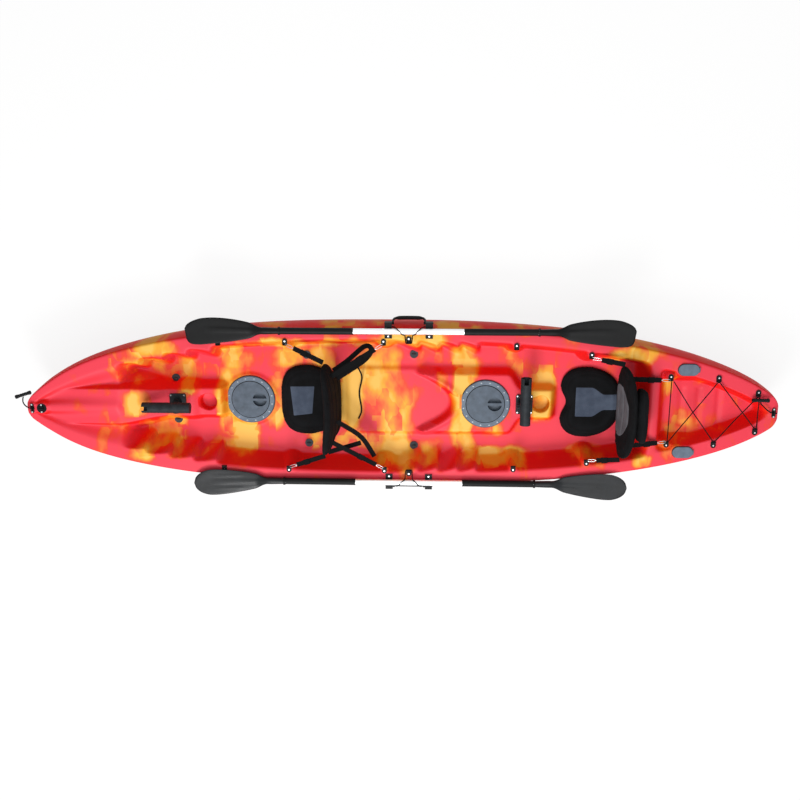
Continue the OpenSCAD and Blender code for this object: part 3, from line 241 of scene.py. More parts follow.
def seat_cloth(name, panel_dark, panel_pale):
    """Black weave, and a panel where the attribute panel_mm is above nought, with a stitched seam."""
    made, tree, skin, place = start(name)
    grids = threads(tree, place, 0.004, 0.004, 0.004)
    pair = add(tree, "Math", {0: grids[0], 1: grids[1]}, operation="MULTIPLY")
    weave = add(tree, "Math", {0: pair, 1: grids[2]}, operation="ADD")
    level = add(tree, "MapRange", {"Value": weave, "From Min": -2.0, "From Max": 2.0})
    cloud = add(tree, "TexNoise", {"Vector": place, "Scale": 1/0.05, "Detail": 5})
    tone = add(tree, "Math", {0: level, 1: 0.5, 2: cloud}, operation="MULTIPLY_ADD")
    cover, panel = [add(tree, "ValToRGB", {"Fac": tone}, [(0.45, dark), (0.95, pale)])
                    for dark, pale in (("#050506", "#0E0F11"), (panel_dark, panel_pale))]
    edge = add(tree, "Attribute", out="Fac", attribute_name="panel_mm")
    inside = add(tree, "MapRange", {"Value": edge, "From Min": -1.0, "From Max": 1.0})
    both = add(tree, "Mix", {"Factor": inside, "A": cover, "B": panel}, out="Result", data_type="RGBA")
    far = add(tree, "Math", {0: edge}, operation="ABSOLUTE")
    groove = add(tree, "MapRange", {"Value": far, "From Max": 5.0})
    height = add(tree, "Math", {0: level, 1: 0.25, 2: groove}, operation="MULTIPLY_ADD")
    bumped = add(tree, "Bump", {"Height": height, "Strength": 0.7, "Distance": 0.0015})
    feed(tree, skin, {"Base Color": both, "Normal": bumped, "Roughness": 0.86, "Specular IOR Level": 0.1})
    return made

pad_cloth = seat_cloth("seat_polyester_with_slate_panel", "#3A4250", "#4C5564")
back_cloth = seat_cloth("seat_polyester_with_pale_panel", "#4A4C50", "#62656A")
print("made", braid.name, webbing.name, pad_cloth.name)

# %% [markdown]
# A surface here is a grid of points: rows along one parameter, columns round the other. One function
# turns such a grid into a mesh, closing it round and capping its ends where asked.

# %% Grids to meshes
def places(mesh):
    """All vertex positions as one array."""
    flat = np.zeros(3*len(mesh.vertices), np.float32)
    mesh.vertices.foreach_get("co", flat)
    return flat.reshape(-1, 3).astype(float)

def volume(mesh):
    """Signed volume: a sixth of the sum of a·(b × c) over the triangles."""
    mesh.calc_loop_triangles()
    corner = np.zeros(3*len(mesh.loop_triangles), int)
    mesh.loop_triangles.foreach_get("vertices", corner)
    a, b, c = np.moveaxis(places(mesh)[corner].reshape(-1, 3, 3), 1, 0)
    return (a*np.cross(b, c)).sum()/6

def surface(name, points, material, body, round_=True, caps=True, uv=None, sharp=40):
    """Quads between neighbours of points[row, column]; a capped end is one polygon."""
    rows, cols = points.shape[:2]
    ids = np.arange(rows*cols).reshape(rows, cols)
    here = ids if round_ else ids[:, :-1]
    there = np.roll(ids, -1, 1) if round_ else ids[:, 1:]
    faces = np.stack([here[:-1], there[:-1], there[1:], here[1:]], -1).reshape(-1, 4).tolist()
    if caps:
        faces += [ids[0][::-1].tolist(), ids[-1].tolist()]
    mesh = bpy.data.meshes.new(name)
    mesh.from_pydata(points.reshape(-1, 3).tolist(), [], faces)
    if round_ and volume(mesh) < 0:
        mesh.flip_normals()
    if uv is not None:
        corner = np.zeros(len(mesh.loops), int)
        mesh.loops.foreach_get("vertex_index", corner)
        held = uv.reshape(-1, 2)[corner].astype(np.float32)
        mesh.uv_layers.new(name="metres").data.foreach_set("uv", held.ravel())
    mesh.polygons.foreach_set("use_smooth", np.ones(len(mesh.polygons), bool))
    mesh.set_sharp_from_angle(angle=np.radians(sharp))
    mesh.materials.append(material)
    made = bpy.data.objects.new(name, mesh)
    scene.collection.objects.link(made)
    if body:
        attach(made, body)
    return made

def curve(route, step, closed=False):
    """Catmull-Rom curve through the route: each span is a cubic with the slope of its neighbours."""
    p = np.asarray(route, float)
    before, after = (p[-1:], p[:2]) if closed else (2*p[:1] - p[1:2], 2*p[-1:] - p[-2:-1])
    q = np.concatenate([before, p, after])
    spans = []
    for a, b, c, d in zip(q, q[1:], q[2:], q[3:]):
        t = np.linspace(0, 1, max(2, int(np.linalg.norm(c - b)/step) + 1))[:-1, None]
        spans.append(b + 0.5*t*((c - a) + t*((2*a - 5*b + 4*c - d) + t*(3*(b - c) + d - a))))
    return np.concatenate(spans if closed else spans + [p[-1:]])

def sweep(path, section, closed=False):
    """Carries section[k] = (side, up), or one for each point, along a path and turns it with the path."""
    ahead = np.roll(path, -1, 0) - np.roll(path, 1, 0)
    if not closed:
        ahead[0], ahead[-1] = path[1] - path[0], path[-1] - path[-2]
    ahead /= np.linalg.norm(ahead, axis=1)[:, None]
    side = np.cross([0.05, 0.02, 1.0], ahead)
    side /= np.linalg.norm(side, axis=1)[:, None]
    up = np.cross(ahead, side)
    section = np.broadcast_to(section, (len(path), *np.shape(section)[-2:]))
    return path[:, None] + section[..., :1]*side[:, None] + section[..., 1:]*up[:, None]

def grid(*parts):
    """Brings arrays to one shape and stacks them as the coordinates of points."""
    return np.stack(np.broadcast_arrays(*parts), -1)

def angles(n):
    """n equal steps round a circle: 2πk/n."""
    return 2*np.pi*np.arange(n)/n

def travelled(path):
    """How far each point lies from the start, along the path."""
    return np.concatenate([[0], np.cumsum(np.linalg.norm(np.diff(path, axis=0), axis=1))])

def tube(name, route, diameter, material, body, sides=12, step=0.006, closed=False):
    """A round cord: a circle swept along the curve, with UV = (metres along, metres round)."""
    path = curve(route, step, closed)
    turn = angles(sides)
    ring = diameter/2*grid(np.cos(turn), np.sin(turn))
    points = sweep(path, ring, closed)
    uv = grid(travelled(path)[:, None], turn*diameter/2)
    if closed:
        points, uv = np.concatenate([points, points[:1]]), np.concatenate([uv, uv[:1]])
    return surface(name, points, material, body, uv=uv, caps=not closed)

def mark(piece, name, value):
    """Each vertex holds a value under a name."""
    piece.data.attributes.new(name, "FLOAT", "POINT").data.foreach_set("value", value.astype(np.float32))

def dress(material, *names):
    """A CAD node keeps its shape and takes the material."""
    for name in names:
        nodes[name].data.materials.clear()
        nodes[name].data.materials.append(material)

mm = 0.001
print("helpers ready")

# %% [markdown]
# The hull is the largest piece: a deck of wells, ledges and raised islands over a keel with two
# tunnels. Each is a formula of the place on the plan, as in the CAD, but with a slimmer bow and with
# scooped foot braces. The whole deck is the smooth maximum of its parts. On a grid of 9 mm it shows
# the moulded forms that a coarse solid only hints at. Lengths in these formulas are in millimetres.

# %% Plan, sheer and smooth steps
half, beam, rim_w, lip, nose_r = 1855.0, 812.0, 62.0, 14.0, 30.0
floor_z, console_z, fillet = 145, 238, 14
front_hatch, rear_hatch = (765, 156.6), (-433, 202.6)
loop_inset = np.array([(890, 41), (560, 63), (74, 70), (-50, 56), (-576, 70), (-940, 75), (-1326, 110),
                       (-1555, 46), (-1749, 31)], float)
drains = np.array([(1147, 110), (472, 235), (-72, 242)], float)
sat = lambda t: np.clip(t, 0, 1)
ease = lambda t: sat(t)**2*(3 - 2*sat(t))
past = lambda d: np.maximum(0, d)
bell = lambda t: np.exp(-t*t)
smax = lambda a, b, k: np.maximum(a, b) + past(k - np.abs(a - b))**2/(4*k)

def half_w(x):
    """Half beam of a superellipse, fuller towards the bow."""
    p, q = np.where(x > 0, 2.8, 2.3), np.where(x > 0, 0.63, 0.6)
    return beam/2*(1 - (np.abs(x)/(half*1.015))**p)**q

def rim_z(x):
    """Sheer of the gunwale: level amidships, rising to both ends."""
    return 281 + 70*(past(x - 300)/(half - 300))**2 + 32*(past(-200 - x)/(half - 200))**1.3

def saw(x):
    """Ledges of the two foot braces: u grows from 0 to 1 over each pitch, four times."""
    ledge = 0
    for x0, pitch in ((1400, 120), (0, 100)):
        u = (x0 - x)/pitch
        ledge = np.maximum(ledge, np.where((u > 0) & (u < 4), u - np.floor(u), 0))
    return ledge

def scoop(x, d):
    """Slanted hollows of the foot braces: ((1 - cos)/2)² across each pitch, four times."""
    hollow = 0
    for x0, pitch in ((1420, 120), (10, 100)):
        u = (x0 - x - 0.9*d)/pitch
        hollow = np.maximum(hollow, np.where((u > 0) & (u < 4), (0.5 - 0.5*np.cos(2*np.pi*u))**2, 0))
    return hollow

# %% Deck heights
def deck_z(x, y):
    """Height of the deck: rim, cockpit, islands and tank well joined by smooth maxima."""
    w, rim, a = half_w(x), rim_z(x), np.abs(y)
    inner = np.maximum(20, w - rim_w)
    valley = 38*sat((w - 60)/190)*np.sin(np.pi*sat((a - 10)/np.maximum(inner - 10, 1)))**2
    top = rim + ease((x - 1290)/150)*(8*bell(y/26) - valley)
    d, tooth = w - rim_w - a, saw(x)
    brace = sat((d - 26*tooth)/(48 + 30*tooth))
    ends = ease((1405 - x)/60)*ease((x + 1238)/60)
    hollows = 18*scoop(x, d)*ease(5*brace*(1 - brace))
    cockpit = top - ((top - floor_z)*(0.5*brace + 0.5*ease(brace)) + hollows)*ends
    slope = console_z + (rim_z(1400.0) - console_z)*sat((x - 1181)/220)
    console = np.where(x > 1181, slope, console_z - 24*ease((1061 - x)/60))
    console = console - 2.2*(past(a - 70 - 20*ease((x - 1200)/200)) + past(906 - x))
    hatch = front_hatch[1] - 2*past(np.hypot(x - front_hatch[0], y) - 133)
    middle = 160 - 1.2*(past(a - 165) + past(x - 262) + past(-300 - x))
    seatback = -281 + 177*(np.minimum(a, 150)/150)**2
    rear_half = 70 + 80*ease((x - rear_hatch[0] + 185)/70)
    rear = rear_hatch[1] + 12*bell((x - seatback + 24)/24) - 1.8*past(x - seatback)
    rear = rear - 2.2*(past(a - rear_half) + past(-764 - x))
    tank = (rim - 215)*ease((w - 74 - a)/45)*ease((-1275 - x)/40)*ease((x + half - 46)/60)
    grooves = 13*sum(bell((x - g)/9) for g in (-1405, -1490, -1588))*ease((110 - a)/20)
    deck = cockpit
    for island in (console, hatch, middle, rear):
        deck = smax(deck, island, fillet)
    return deck - tank - grooves

def seat_z(x, y, deck):
    """Flat seats under the fittings stand a little proud of the deck."""
    a = np.abs(y)
    pads = ((1826, 358.2, 27), (1778, 358.2, 27), (-1830, 315.2, 24), (1121, 238.8, 66), (-628, 203.8, 66),
            (765, 156.8, 131), (-433, 202.8, 131))
    pill = np.hypot(past(np.abs(x + 1408) - 24), a - 210.8)
    seats = [deck, 304.1 - 2*past(pill - 33)]
    seats += [rim_z(px) + 1.8 - 3*past(np.hypot(x - px, a - half_w(px) + inset) - 17)
              for px, inset in loop_inset]
    seats += [deck_z(px, py) + 2.9 - 3*past(np.hypot(x - px, a - py) - 26) for px, py in drains]
    seats += [z - 2*past(np.hypot(x - px, y) - r) for px, z, r in pads]
    seats += [283.8 - 3*past(np.maximum(np.abs(x - px) - 20, 350 - a)) for px in (50, -150)]
    return np.max(seats, axis=0)

def keel_z(x):
    """Rocker: the keel lifts towards both ends."""
    return 120*sat((x - 950)/(half - 950))**2.2 + 95*sat((-1000 - x)/(half - 1000))**2.2

def bottom_z(x, e):
    """Underside at the share e of the half beam: chine, bow vee and two tunnels."""
    e = np.abs(e)
    return (keel_z(x) + 85*sat((e - 0.64)/0.36)**1.8 + 60*ease((x - 900)/950)*e
            + 14*ease(1 - np.abs(e - 0.43)/0.13)*ease((1300 - np.abs(x))/300))

# %% [markdown]
# Rings of points run over the deck, down the side and under the keel. The heights are blurred by one
# grid step, which gives every edge the soft radius that melted powder leaves. A second, coarser skin
# inside makes the shell hollow, and booleans open the hatches, the scuppers and the cup holders.

# %% Rings of the hull
def hull_rings(x, cross, below):
    """Points of the skin: deck columns from port to starboard, side, keel and back up."""
    nose = sat((np.abs(x) - half + nose_r)/nose_r)
    blunt = 1 - np.sqrt(np.maximum(0, 1 - nose**2))
    w = half_w(x)*(1 - 0.5*blunt)*(1 - 0.3*sat((x - 1200)/655)**6)
    x, w, blunt = x[:, None], w[:, None], blunt[:, None]
    k, deck_dip, keel_lift = np.minimum(1, w/130), 14, 22
    rim = np.array([0, 1, 3.5, 7, 10.5, 14, 22, 30, 38, 46, 54])
    y = np.concatenate([w - rim*k, cross*(w - rim_w*k)], 1)
    y = np.concatenate([y, -y[:, -2::-1]], 1)
    z = deck_z(x, y)
    z[1:-1] = 0.25*z[:-2] + 0.5*z[1:-1] + 0.25*z[2:]
    z[:, 1:-1] = 0.25*z[:, :-2] + 0.5*z[:, 1:-1] + 0.25*z[:, 2:]
    edge = (w - np.abs(y))/np.maximum(k, 0.05)
    drop = (1 - np.sqrt(np.maximum(0, 1 - sat(1 - edge/lip)**2)))*lip*k
    z = np.where(edge < 0.5, z, seat_z(x, y, z)) - drop - deck_dip*blunt
    deck = grid(x, y, z)
    s = np.linspace(0, 1, 8)[1:-1]
    foot, head = bottom_z(x, 1.0) + keel_lift*blunt, z[:, :1]
    side = grid(x, w + 9*np.sin(np.pi*s)*k, head + (foot - head)*s)
    base = grid(x, w*below, bottom_z(x, below) + keel_lift*blunt)
    base = np.concatenate([base, base[:, -2::-1]*[1, -1, 1]], 1)
    ring = np.concatenate([deck, side*[1, -1, 1], base[:, ::-1], side[:, ::-1]], 1)
    return ring, deck.shape[1], side.shape[1], base.shape[1]

tips = half - nose_r*(1 - np.cos(np.linspace(0, np.pi/2, 9)))
x = np.unique(np.concatenate([-tips, np.arange(-half + 38, half - 36, 9.2), tips]).round(3))
across = np.linspace(1, 0, 61)
below = np.concatenate([np.linspace(1, 0.62, 9), np.linspace(0.58, 0, 13)])
rings, n_deck, n_side, n_base = hull_rings(x, across, below)
hull = surface("hull_shell", rings*mm, hull_plastic, None, sharp=50)
print("hull rings", rings.shape, "faces", len(hull.data.polygons))

# %% Hollow, sleeves and openings
def spread(z, rows, cols, pick):
    """The lowest or highest value within rows and cols of each point."""
    wide = np.pad(z, ((rows, rows), (cols, cols)), mode="edge")
    return pick(np.lib.stride_tricks.sliding_window_view(wide, (2*rows + 1, 2*cols + 1)), axis=(2, 3))

def join(name, pieces):
    """Several meshes in one object."""
    whole = bmesh.new()
    for piece in pieces:
        whole.from_mesh(piece.data)
    mesh = bpy.data.meshes.new(name)
    mesh.materials.append(pieces[0].data.materials[0])
    whole.to_mesh(mesh)
    whole.free()
    for piece in pieces:
        bpy.data.objects.remove(piece)
    made = bpy.data.objects.new(name, mesh)
    scene.collection.objects.link(made)
    return made

def turned(name, profile, at, material=hull_plastic, lean=0.0, sides=64, axis="z"):
    """A turned solid: profile points (radius, height) carried round an axis through at, in millimetres."""
    r, h = np.array(profile, float).T
    turn = angles(sides)
    p = grid(r[:, None]*np.cos(turn), r[:, None]*np.sin(turn), h[:, None])
    if axis == "x":
        p = p[..., [2, 0, 1]]
    c, s = np.cos(np.radians(lean)), np.sin(np.radians(lean))
    p = grid(p[..., 0]*c - p[..., 2]*s, p[..., 1], p[..., 0]*s + p[..., 2]*c)
    return surface(name, (p + at)*mm, material, None)

def settle(piece):
    """Gives the piece the mesh that its modifiers make, and takes them off."""
    bpy.context.view_layer.update()
    done = bpy.data.meshes.new_from_object(piece.evaluated_get(bpy.context.evaluated_depsgraph_get()))
    piece.modifiers.clear()
    piece.data = done

def combine(piece, tool, how):
    """Adds or removes the tool from the piece, and applies the result."""
    step = piece.modifiers.new("step", "BOOLEAN")
    step.operation, step.solver, step.object = how, "MANIFOLD", tool
    settle(piece)
    bpy.data.objects.remove(tool)

deck_wall, keel_wall, side_wall = 6, 5, 7
inner = rings.copy()
deck, keel = slice(0, n_deck), slice(n_deck + n_side, n_deck + n_side + n_base)
inner[:, deck, 2] = spread(rings[:, deck, 2], 6, 4, np.min) - deck_wall
inner[:, keel, 2] = spread(rings[:, keel, 2], 6, 2, np.max) + keel_wall
inner[..., 1] -= np.sign(inner[..., 1])*np.minimum(side_wall, np.abs(inner[..., 1]))
keep = np.r_[0:n_deck:4, n_deck + n_side:n_deck + n_side + n_base:3]
hollow = surface("hollow", inner[10:-10:6][:, keep]*mm, hull_plastic, None)
combine(hull, hollow, "DIFFERENCE")
sleeves, cutters = [], []
for sx, sy in np.concatenate([drains, drains*[1, -1]]):
    foot, top = bottom_z(sx, sy/half_w(sx)), deck_z(sx, sy)
    sleeves.append(turned("sleeve", [(23, foot + 2), (23, top - 1)], (sx, sy, 0)))
    bore = [(20, foot - 6), (17, foot + 4), (17, top), (17, top + 40)]
    cutters.append(turned("scupper", bore, (sx, sy, 0)))
for cx, cz in ((973, 214), (-712, 202)):
    sleeves.append(turned("sleeve", [(40, -58), (48, -50), (48, -3)], (cx, 0, cz)))
    bowl = [(36, -52), (41, -50), (43, -45), (43, -5), (44.5, -2), (49, 1), (52, 9)]
    cutters.append(turned("cup", bowl, (cx, 0, cz)))
for hx, hz in ((765, 157), (-433, 203)):
    cutters.append(turned("hatch", [(93, -40), (93, 20)], (hx, 0, hz)))
for side in (-1, 1):
    cutters.append(turned("flush", [(24.9, -215), (24.9, 20)], (-1408, side*210.81, 304.25), lean=20))
cutters.append(turned("drain", [(12, -40), (12, 20)], (1778, 0, 358)))
combine(hull, join("sleeves", sleeves), "UNION")
combine(hull, join("cutters", cutters), "DIFFERENCE")
hull.data.polygons.foreach_set("use_smooth", np.ones(len(hull.data.polygons), bool))
hull.data.set_sharp_from_angle(angle=np.radians(48))
print("hull faces", len(hull.data.polygons), "volume", round(volume(hull.data), 4))

# %% [markdown]
# Where the powders fell is seen from above, so the patches are listed by their place on the plan, with
# their reach and how yellow they are. The list is short: the noise in the material does the rest.

# %% Yellow share of the hull
patches = np.array([
    (1312, 0, 60, 60, .50), (1250, 150, 130, 80, .30), (1210, -165, 180, 60, .28),
    (1200, -300, 100, 40, .45), (1230, 240, 120, 40, .40), (890, 0, 45, 140, .55),
    (790, -200, 120, 50, .35), (800, 165, 95, 42, .55), (610, -310, 150, 35, .50), (870, -250, 70, 50, .30),
    (700, 235, 190, 40, .40), (530, -215, 180, 50, .40), (400, 220, 120, 40, .35), (245, -10, 52, 125, .60),
    (105, -10, 165, 220, .40), (-50, -335, 170, 40, .45), (-325, -215, 60, 80, .60),
    (-320, 190, 60, 80, .45), (-440, 150, 80, 40, .35), (-530, 285, 100, 35, .50),
    (-725, -20, 55, 130, .50), (-940, 270, 90, 40, .35), (-1100, -262, 90, 40, .40),
    (-1180, -280, 100, 40, .40), (-1210, 268, 45, 30, .50), (-1340, 10, 60, 110, .22),
    (-1400, 50, 50, 40, .28), (-40, 265, 170, 60, .30), (-320, 0, 50, 260, .45), (230, 215, 90, 50, .40),
    (270, -310, 120, 35, .35), (740, 0, 170, 170, .42), (650, -405, 120, 30, .28),
    (250, -415, 130, 25, .32), (-300, -410, 90, 25, .50), (-700, -395, 100, 30, .30)])
strength, reach, fade = 0.62, 1.7, 1.1
spot = places(hull.data)/mm
total = np.zeros(len(spot))
for px, py, rx, ry, amount in patches:
    away_from = (np.abs((spot[:, 0] - px)/rx)**3 + np.abs((spot[:, 1] - py)/ry)**3)**(1/3)
    total = np.maximum(total, strength*amount*ease((reach - away_from)/fade))
total = total*ease((spot[:, 2] - 20)/120)
facing = np.zeros(len(spot)*3, np.float32)
hull.data.vertices.foreach_get("normal", facing)
# Painted shade on the hull: steep faces take the deeper wall colours. The brace ledges outside the scoops are
# kept at the flat colours as painted light, so the scoops stay darker as painted shade.
sx, sd = spot[:, 0], half_w(spot[:, 0].clip(-half, half)) - rim_w - np.abs(spot[:, 1])
fore_brace, aft_brace = ease((1420 - sx)/30)*ease((sx - 890)/40), ease((20 - sx)/30)*ease((sx + 430)/40)
braced = ease(sd/20)*np.maximum(fore_brace, aft_brace)
painted_brace_light = 0.65*braced*(1 - scoop(sx, sd))*(np.abs(spot[:, 1]) > 110)
steep = ease((0.96 - facing[2::3])/0.4)*(1 - painted_brace_light)
mark(hull, "yellow_share", total)
mark(hull, "steep", steep)
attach(hull, "boat")
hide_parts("hull")
print("yellow patches", len(patches))

# %% [markdown]
# The CAD's hatches, screws, loops, brackets, rod holders and tubes already have their real shapes, so
# they keep them and take the materials made above.

# %% Materials on CAD pieces
dress(slate, "front_hatch_ring", "rear_hatch_ring", "port_rod_cap", "starboard_rod_cap")
dress(dark_slate, "front_hatch_lid", "rear_hatch_lid")
dress(rubber, "front_hatch_seal", "rear_hatch_seal", "drain_gasket")
dress(plug_rubber, "scupper_plugs")
dress(dull_steel, "hatch_screws")
dress(stainless, "deck_screws", "port_paddle_button", "starboard_paddle_button")
dress(black_nylon, "drain_flange", "drain_plug", "padeyes", "side_brackets", "deck_loops", "port_rod_socket",
      "starboard_rod_socket")
dress(rod_nylon, *[f"{end}_rod_{part}" for end in ("front", "rear")
                   for part in ("base", "post", "tube", "knob")])
for side in ("port", "starboard"):
    for end in ("fore", "aft"):
        dress(aluminium, f"{side}_paddle_shaft_{end}")
        dress(sleeve, f"{side}_paddle_grip_{end}")
print("dressed CAD nodes")

# %% Rubber lips of the hatches, the outer one partly a painted shadow line
turn = angles(72)
for name, (hx, hz) in (("front", front_hatch), ("rear", rear_hatch)):
    # The gasket ring at 124 mm is partly a real rubber seal under the hatch ring and partly a painted shadow:
    # a black line where shade falls round the ring's outer edge.
    for edge, r, up in (("lip", 97.6, 9.2), ("gasket", 124, 1.8)):
        circle = grid(hx + r*np.cos(turn), r*np.sin(turn), hz + up)
        tube(f"{name}_hatch_{edge}", circle*mm, 3.4*mm, rubber, "boat", 10, closed=True)
print("lips made")

# %% [markdown]
# Shock cord and handle cord are round braids. Each follows the CAD's route, through the same points,
# but as a smooth curve.

# %% Cords
def cord_piece(name, route, diameter, body, *replaced):
    """A braided cord along a route in millimetres, in place of CAD nodes."""
    made = tube(name, np.array(route, float)*mm, diameter*mm, braid, body)
    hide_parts(*replaced)

nose, tail = np.array([1826, 0, 358.413]), np.array([-1830, 0, 315.373])
bow_route = np.array([[-14, 0, 7.4], [0, 0, 7.4], [14, -4, 7.6], [30, -16, 10], [40, -34, 9], [41, -50, 4],
                      [40, -58.9, 0]])
stern_route = np.array([[-14, 0, 7.4], [0, 0, 7.4], [16, -4, 7.6], [36, -18, 12], [58, -38, 17],
                        [70, -50, 19], [73, -58.3, 19]])
cord_piece("bow_handle_cord", nose + bow_route, 6, "bow_handle", "bow_cord")
cord_piece("stern_handle_cord", tail + stern_route, 6, "stern_handle", "stern_cord")

loops = np.array([(a, half_w(a) - b, rim_z(a) + 2) for a, b in loop_inset])

def lace(k, side, dx=0.0):
    """Where the cord passes a deck loop: inboard of its arch."""
    return loops[k]*[1, side, 1] + [dx, -side*22, 8]

def between(j, k, side, up):
    """Halfway from loop j to loop k on the other side, lifted where one run crosses over another."""
    return (lace(j, side) + lace(k, -side))/2 + [0, 0, up]

lacing = [lace(6, -1, -3), lace(6, 1, -3), lace(6, 1, -9), between(6, 7, 1, 5), lace(7, -1, 4),
          lace(7, -1, -4), between(7, 8, -1, 5), lace(8, 1, 4), lace(8, 1, -4), lace(8, -1, -4),
          lace(8, -1, 4), between(8, 7, -1, -5), lace(7, 1, -4), lace(7, 1, 4), between(7, 6, 1, -5),
          lace(6, -1, -14)]
path = []
for a, b in zip(lacing, lacing[1:]):
    parts = max(1, int(np.linalg.norm(b - a)/60))
    path += [a + (b - a)*t/parts for t in range(parts)]
cord_piece("tank_lacing", path + [lacing[-1]], 5, "boat", "tank_shock_cord")

paddle_x, paddle_y, paddle_z, wrap_r = -50, 390, 304.8, 19.26

def keeper_route(side):
    """From one bracket over the shaft, round the deck loop and back to the other bracket."""
    legs, p = [], loops[3]
    for s in (1, -1):
        wrap = [(paddle_x + s*(63.2 - 11*i), paddle_y + wrap_r*np.cos(a), paddle_z + wrap_r*np.sin(a))
                for i, a in enumerate(np.radians((10, 50, 90, 130, 170)))]
        turn = [p + [s*17, -1, 7], p + [s*15, -17, 7], p + [s*13.75, -20.75, 7], p + [s*10, -22, 7]]
        legs.append([(paddle_x + s*79.2, 412, 286.75)] + wrap + turn)
    return np.array(legs[0] + legs[1][::-1])*[1, side, 1]

cord_piece("port_keeper_cord", keeper_route(1), 5, "boat", "port_paddle_keeper")
cord_piece("starboard_keeper_cord", keeper_route(-1), 5, "boat", "starboard_paddle_keeper")
print("cords made")

# %% [markdown]
# The carry toggles are turned grips with raised rings. The side handles are moulded straps: a swollen
# grip between two arms that end in pins.

# %% Toggles and side handles
u = np.linspace(-43, 43, 87)
radius = 8.3 + 1.7*ease((np.abs(u) - 26)/5) + 0.7*np.cos(u/43*np.pi*7)*(np.abs(u) < 25)
radius *= np.sqrt(np.maximum(0.05, 1 - sat((np.abs(u) - 39)/4)**2))
for name, base, turn, body in (("bow", nose + [40, -69, -1.6], 18, "bow_handle"),
                               ("stern", tail + [73, -68, 18.5], 0, "stern_handle")):
    made = turned(f"{name}_grip", grid(radius, u), (0, 0, 0), black_nylon, axis="x", sides=32)
    c, s = np.cos(np.radians(turn)), np.sin(np.radians(turn))
    made.data.transform([[c, s, 0, 0], [-s, c, 0, 0], [0, 0, 1, 0], [*(base*mm), 1]])
    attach(made, body)
    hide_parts(f"{name}_toggle")

def side_handle(name, side):
    """A round section swept along a U: radius 5.5 at the arms, 9.5 at the grip, with pins and eyes."""
    x0, y0, z0, hang = -50, side*424, 264, np.radians(75)
    arm = np.array([(-79, 0), (-79, 22), (-76, 42), (-66, 54), (-40, 59)], float)
    plan = np.concatenate([arm, [(0, 60)], arm[::-1]*[-1, 1]])
    out = plan[:, 1]
    route = grid(x0 + plan[:, 0], y0 + side*out*np.cos(hang), z0 - out*np.sin(hang))
    path = curve(route*mm, 0.004)
    t = np.linspace(-1, 1, len(path))
    wide = (5.5 + 4*ease((0.62 - np.abs(t))/0.25))*mm
    turn = angles(20)
    ring = wide[:, None, None]*grid(np.cos(turn), np.sin(turn))
    pieces = [surface("arch", sweep(path, ring), black_nylon, None)]
    pin, eye = [(4, -20), (4, 20)], [(6, -4.5), (7, -3.5), (7, 3.5), (6, 4.5)]
    for part, profile, reach, sides in (("pin", pin, 100, 24), ("eye", eye, 76.5, 32)):
        pieces += [turned(part, profile, (x0 + s*reach, y0, z0), black_nylon, axis="x", sides=sides)
                   for s in (-1, 1)]
    return join(f"{name}_carry_strap", pieces)

for side, name in ((1, "port"), (-1, "starboard")):
    made = side_handle(name, side)
    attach(made, f"{name}_side_handle")
    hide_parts(f"{name}_handle")
print("toggles and handles made")

# %% [markdown]
# A paddle blade grows out of a round socket: its section starts as a circle, widens and flattens, and
# the whole is spooned. A rib stiffens the middle. The port blades are grey and ribbed, the starboard
# ones black.

# %% Paddle blades
def blade(name, side, end, material):
    """Section at u: an oval, h(u) wide and t(u) thick each way, dished by 5(y/80)² and curved by 16u²."""
    socket_r, root, length = 17.5, 713, 380
    u = np.linspace(-0.22, 1, 76)[:, None]
    turn = angles(48)
    v = np.cos(turn)
    tip = np.where(v > 0, 3.2, 30) if side < 0 else 7
    face = 76*sat(u*1.25 + 1e-9)**0.42*np.maximum(0, 1 - sat(u)**tip)**0.5
    grow = ease((u + 0.02)/0.2)
    h = socket_r + (np.maximum(face, 4) - socket_r)*np.where(u > 0, grow, 0)
    h = h*np.where(u < 0, 1 - 0.12*ease(-u/0.22), 1)
    t = socket_r*(1 - grow) + (3.2 + 3*(1 - sat(u)))*grow
    y = h*np.sign(v)*np.abs(v)**0.8
    rib = 3.2*bell(y/9)*ease((0.85 - u)/0.3)*grow
    side_ribs = 1.2*bell((np.abs(y) - 34)/6)*ease((0.8 - u)/0.2)*ease((u - 0.3)/0.1)*(side > 0)
    z = 16*sat(u)**2 + 5*grow*(y/80)**2 + (t + rib + side_ribs)*np.sin(turn)
    p = grid(end*(root + u*length) + paddle_x, side*(paddle_y + y + 10*sat(u)), paddle_z + z)
    body = f"{'port' if side > 0 else 'starboard'}_paddle_{'front' if end > 0 else 'rear'}"
    made = surface(name, p*mm, material, body)
    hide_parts(name.replace("spoon", "blade"))

for side, name in ((1, "port"), (-1, "starboard")):
    for end, place_name in ((1, "fore"), (-1, "aft")):
        blade(f"{name}_paddle_spoon_{place_name}", side, end, blade_grey if side > 0 else blade_black)
print("blades made")

# %% [markdown]
# The seats are foam in a sewn cover. A pad is crowned, with a soft edge and a flat underside. The
# covers are inflated by cloth simulation, which pulls the sides in as a real cover does, and each
# vertex may move only a few millimetres, so the pad keeps its size.

# %% Inflating a cover
voxel, pressure, cloth_frames = 5*mm, 3, 18
no_panel = -900.0

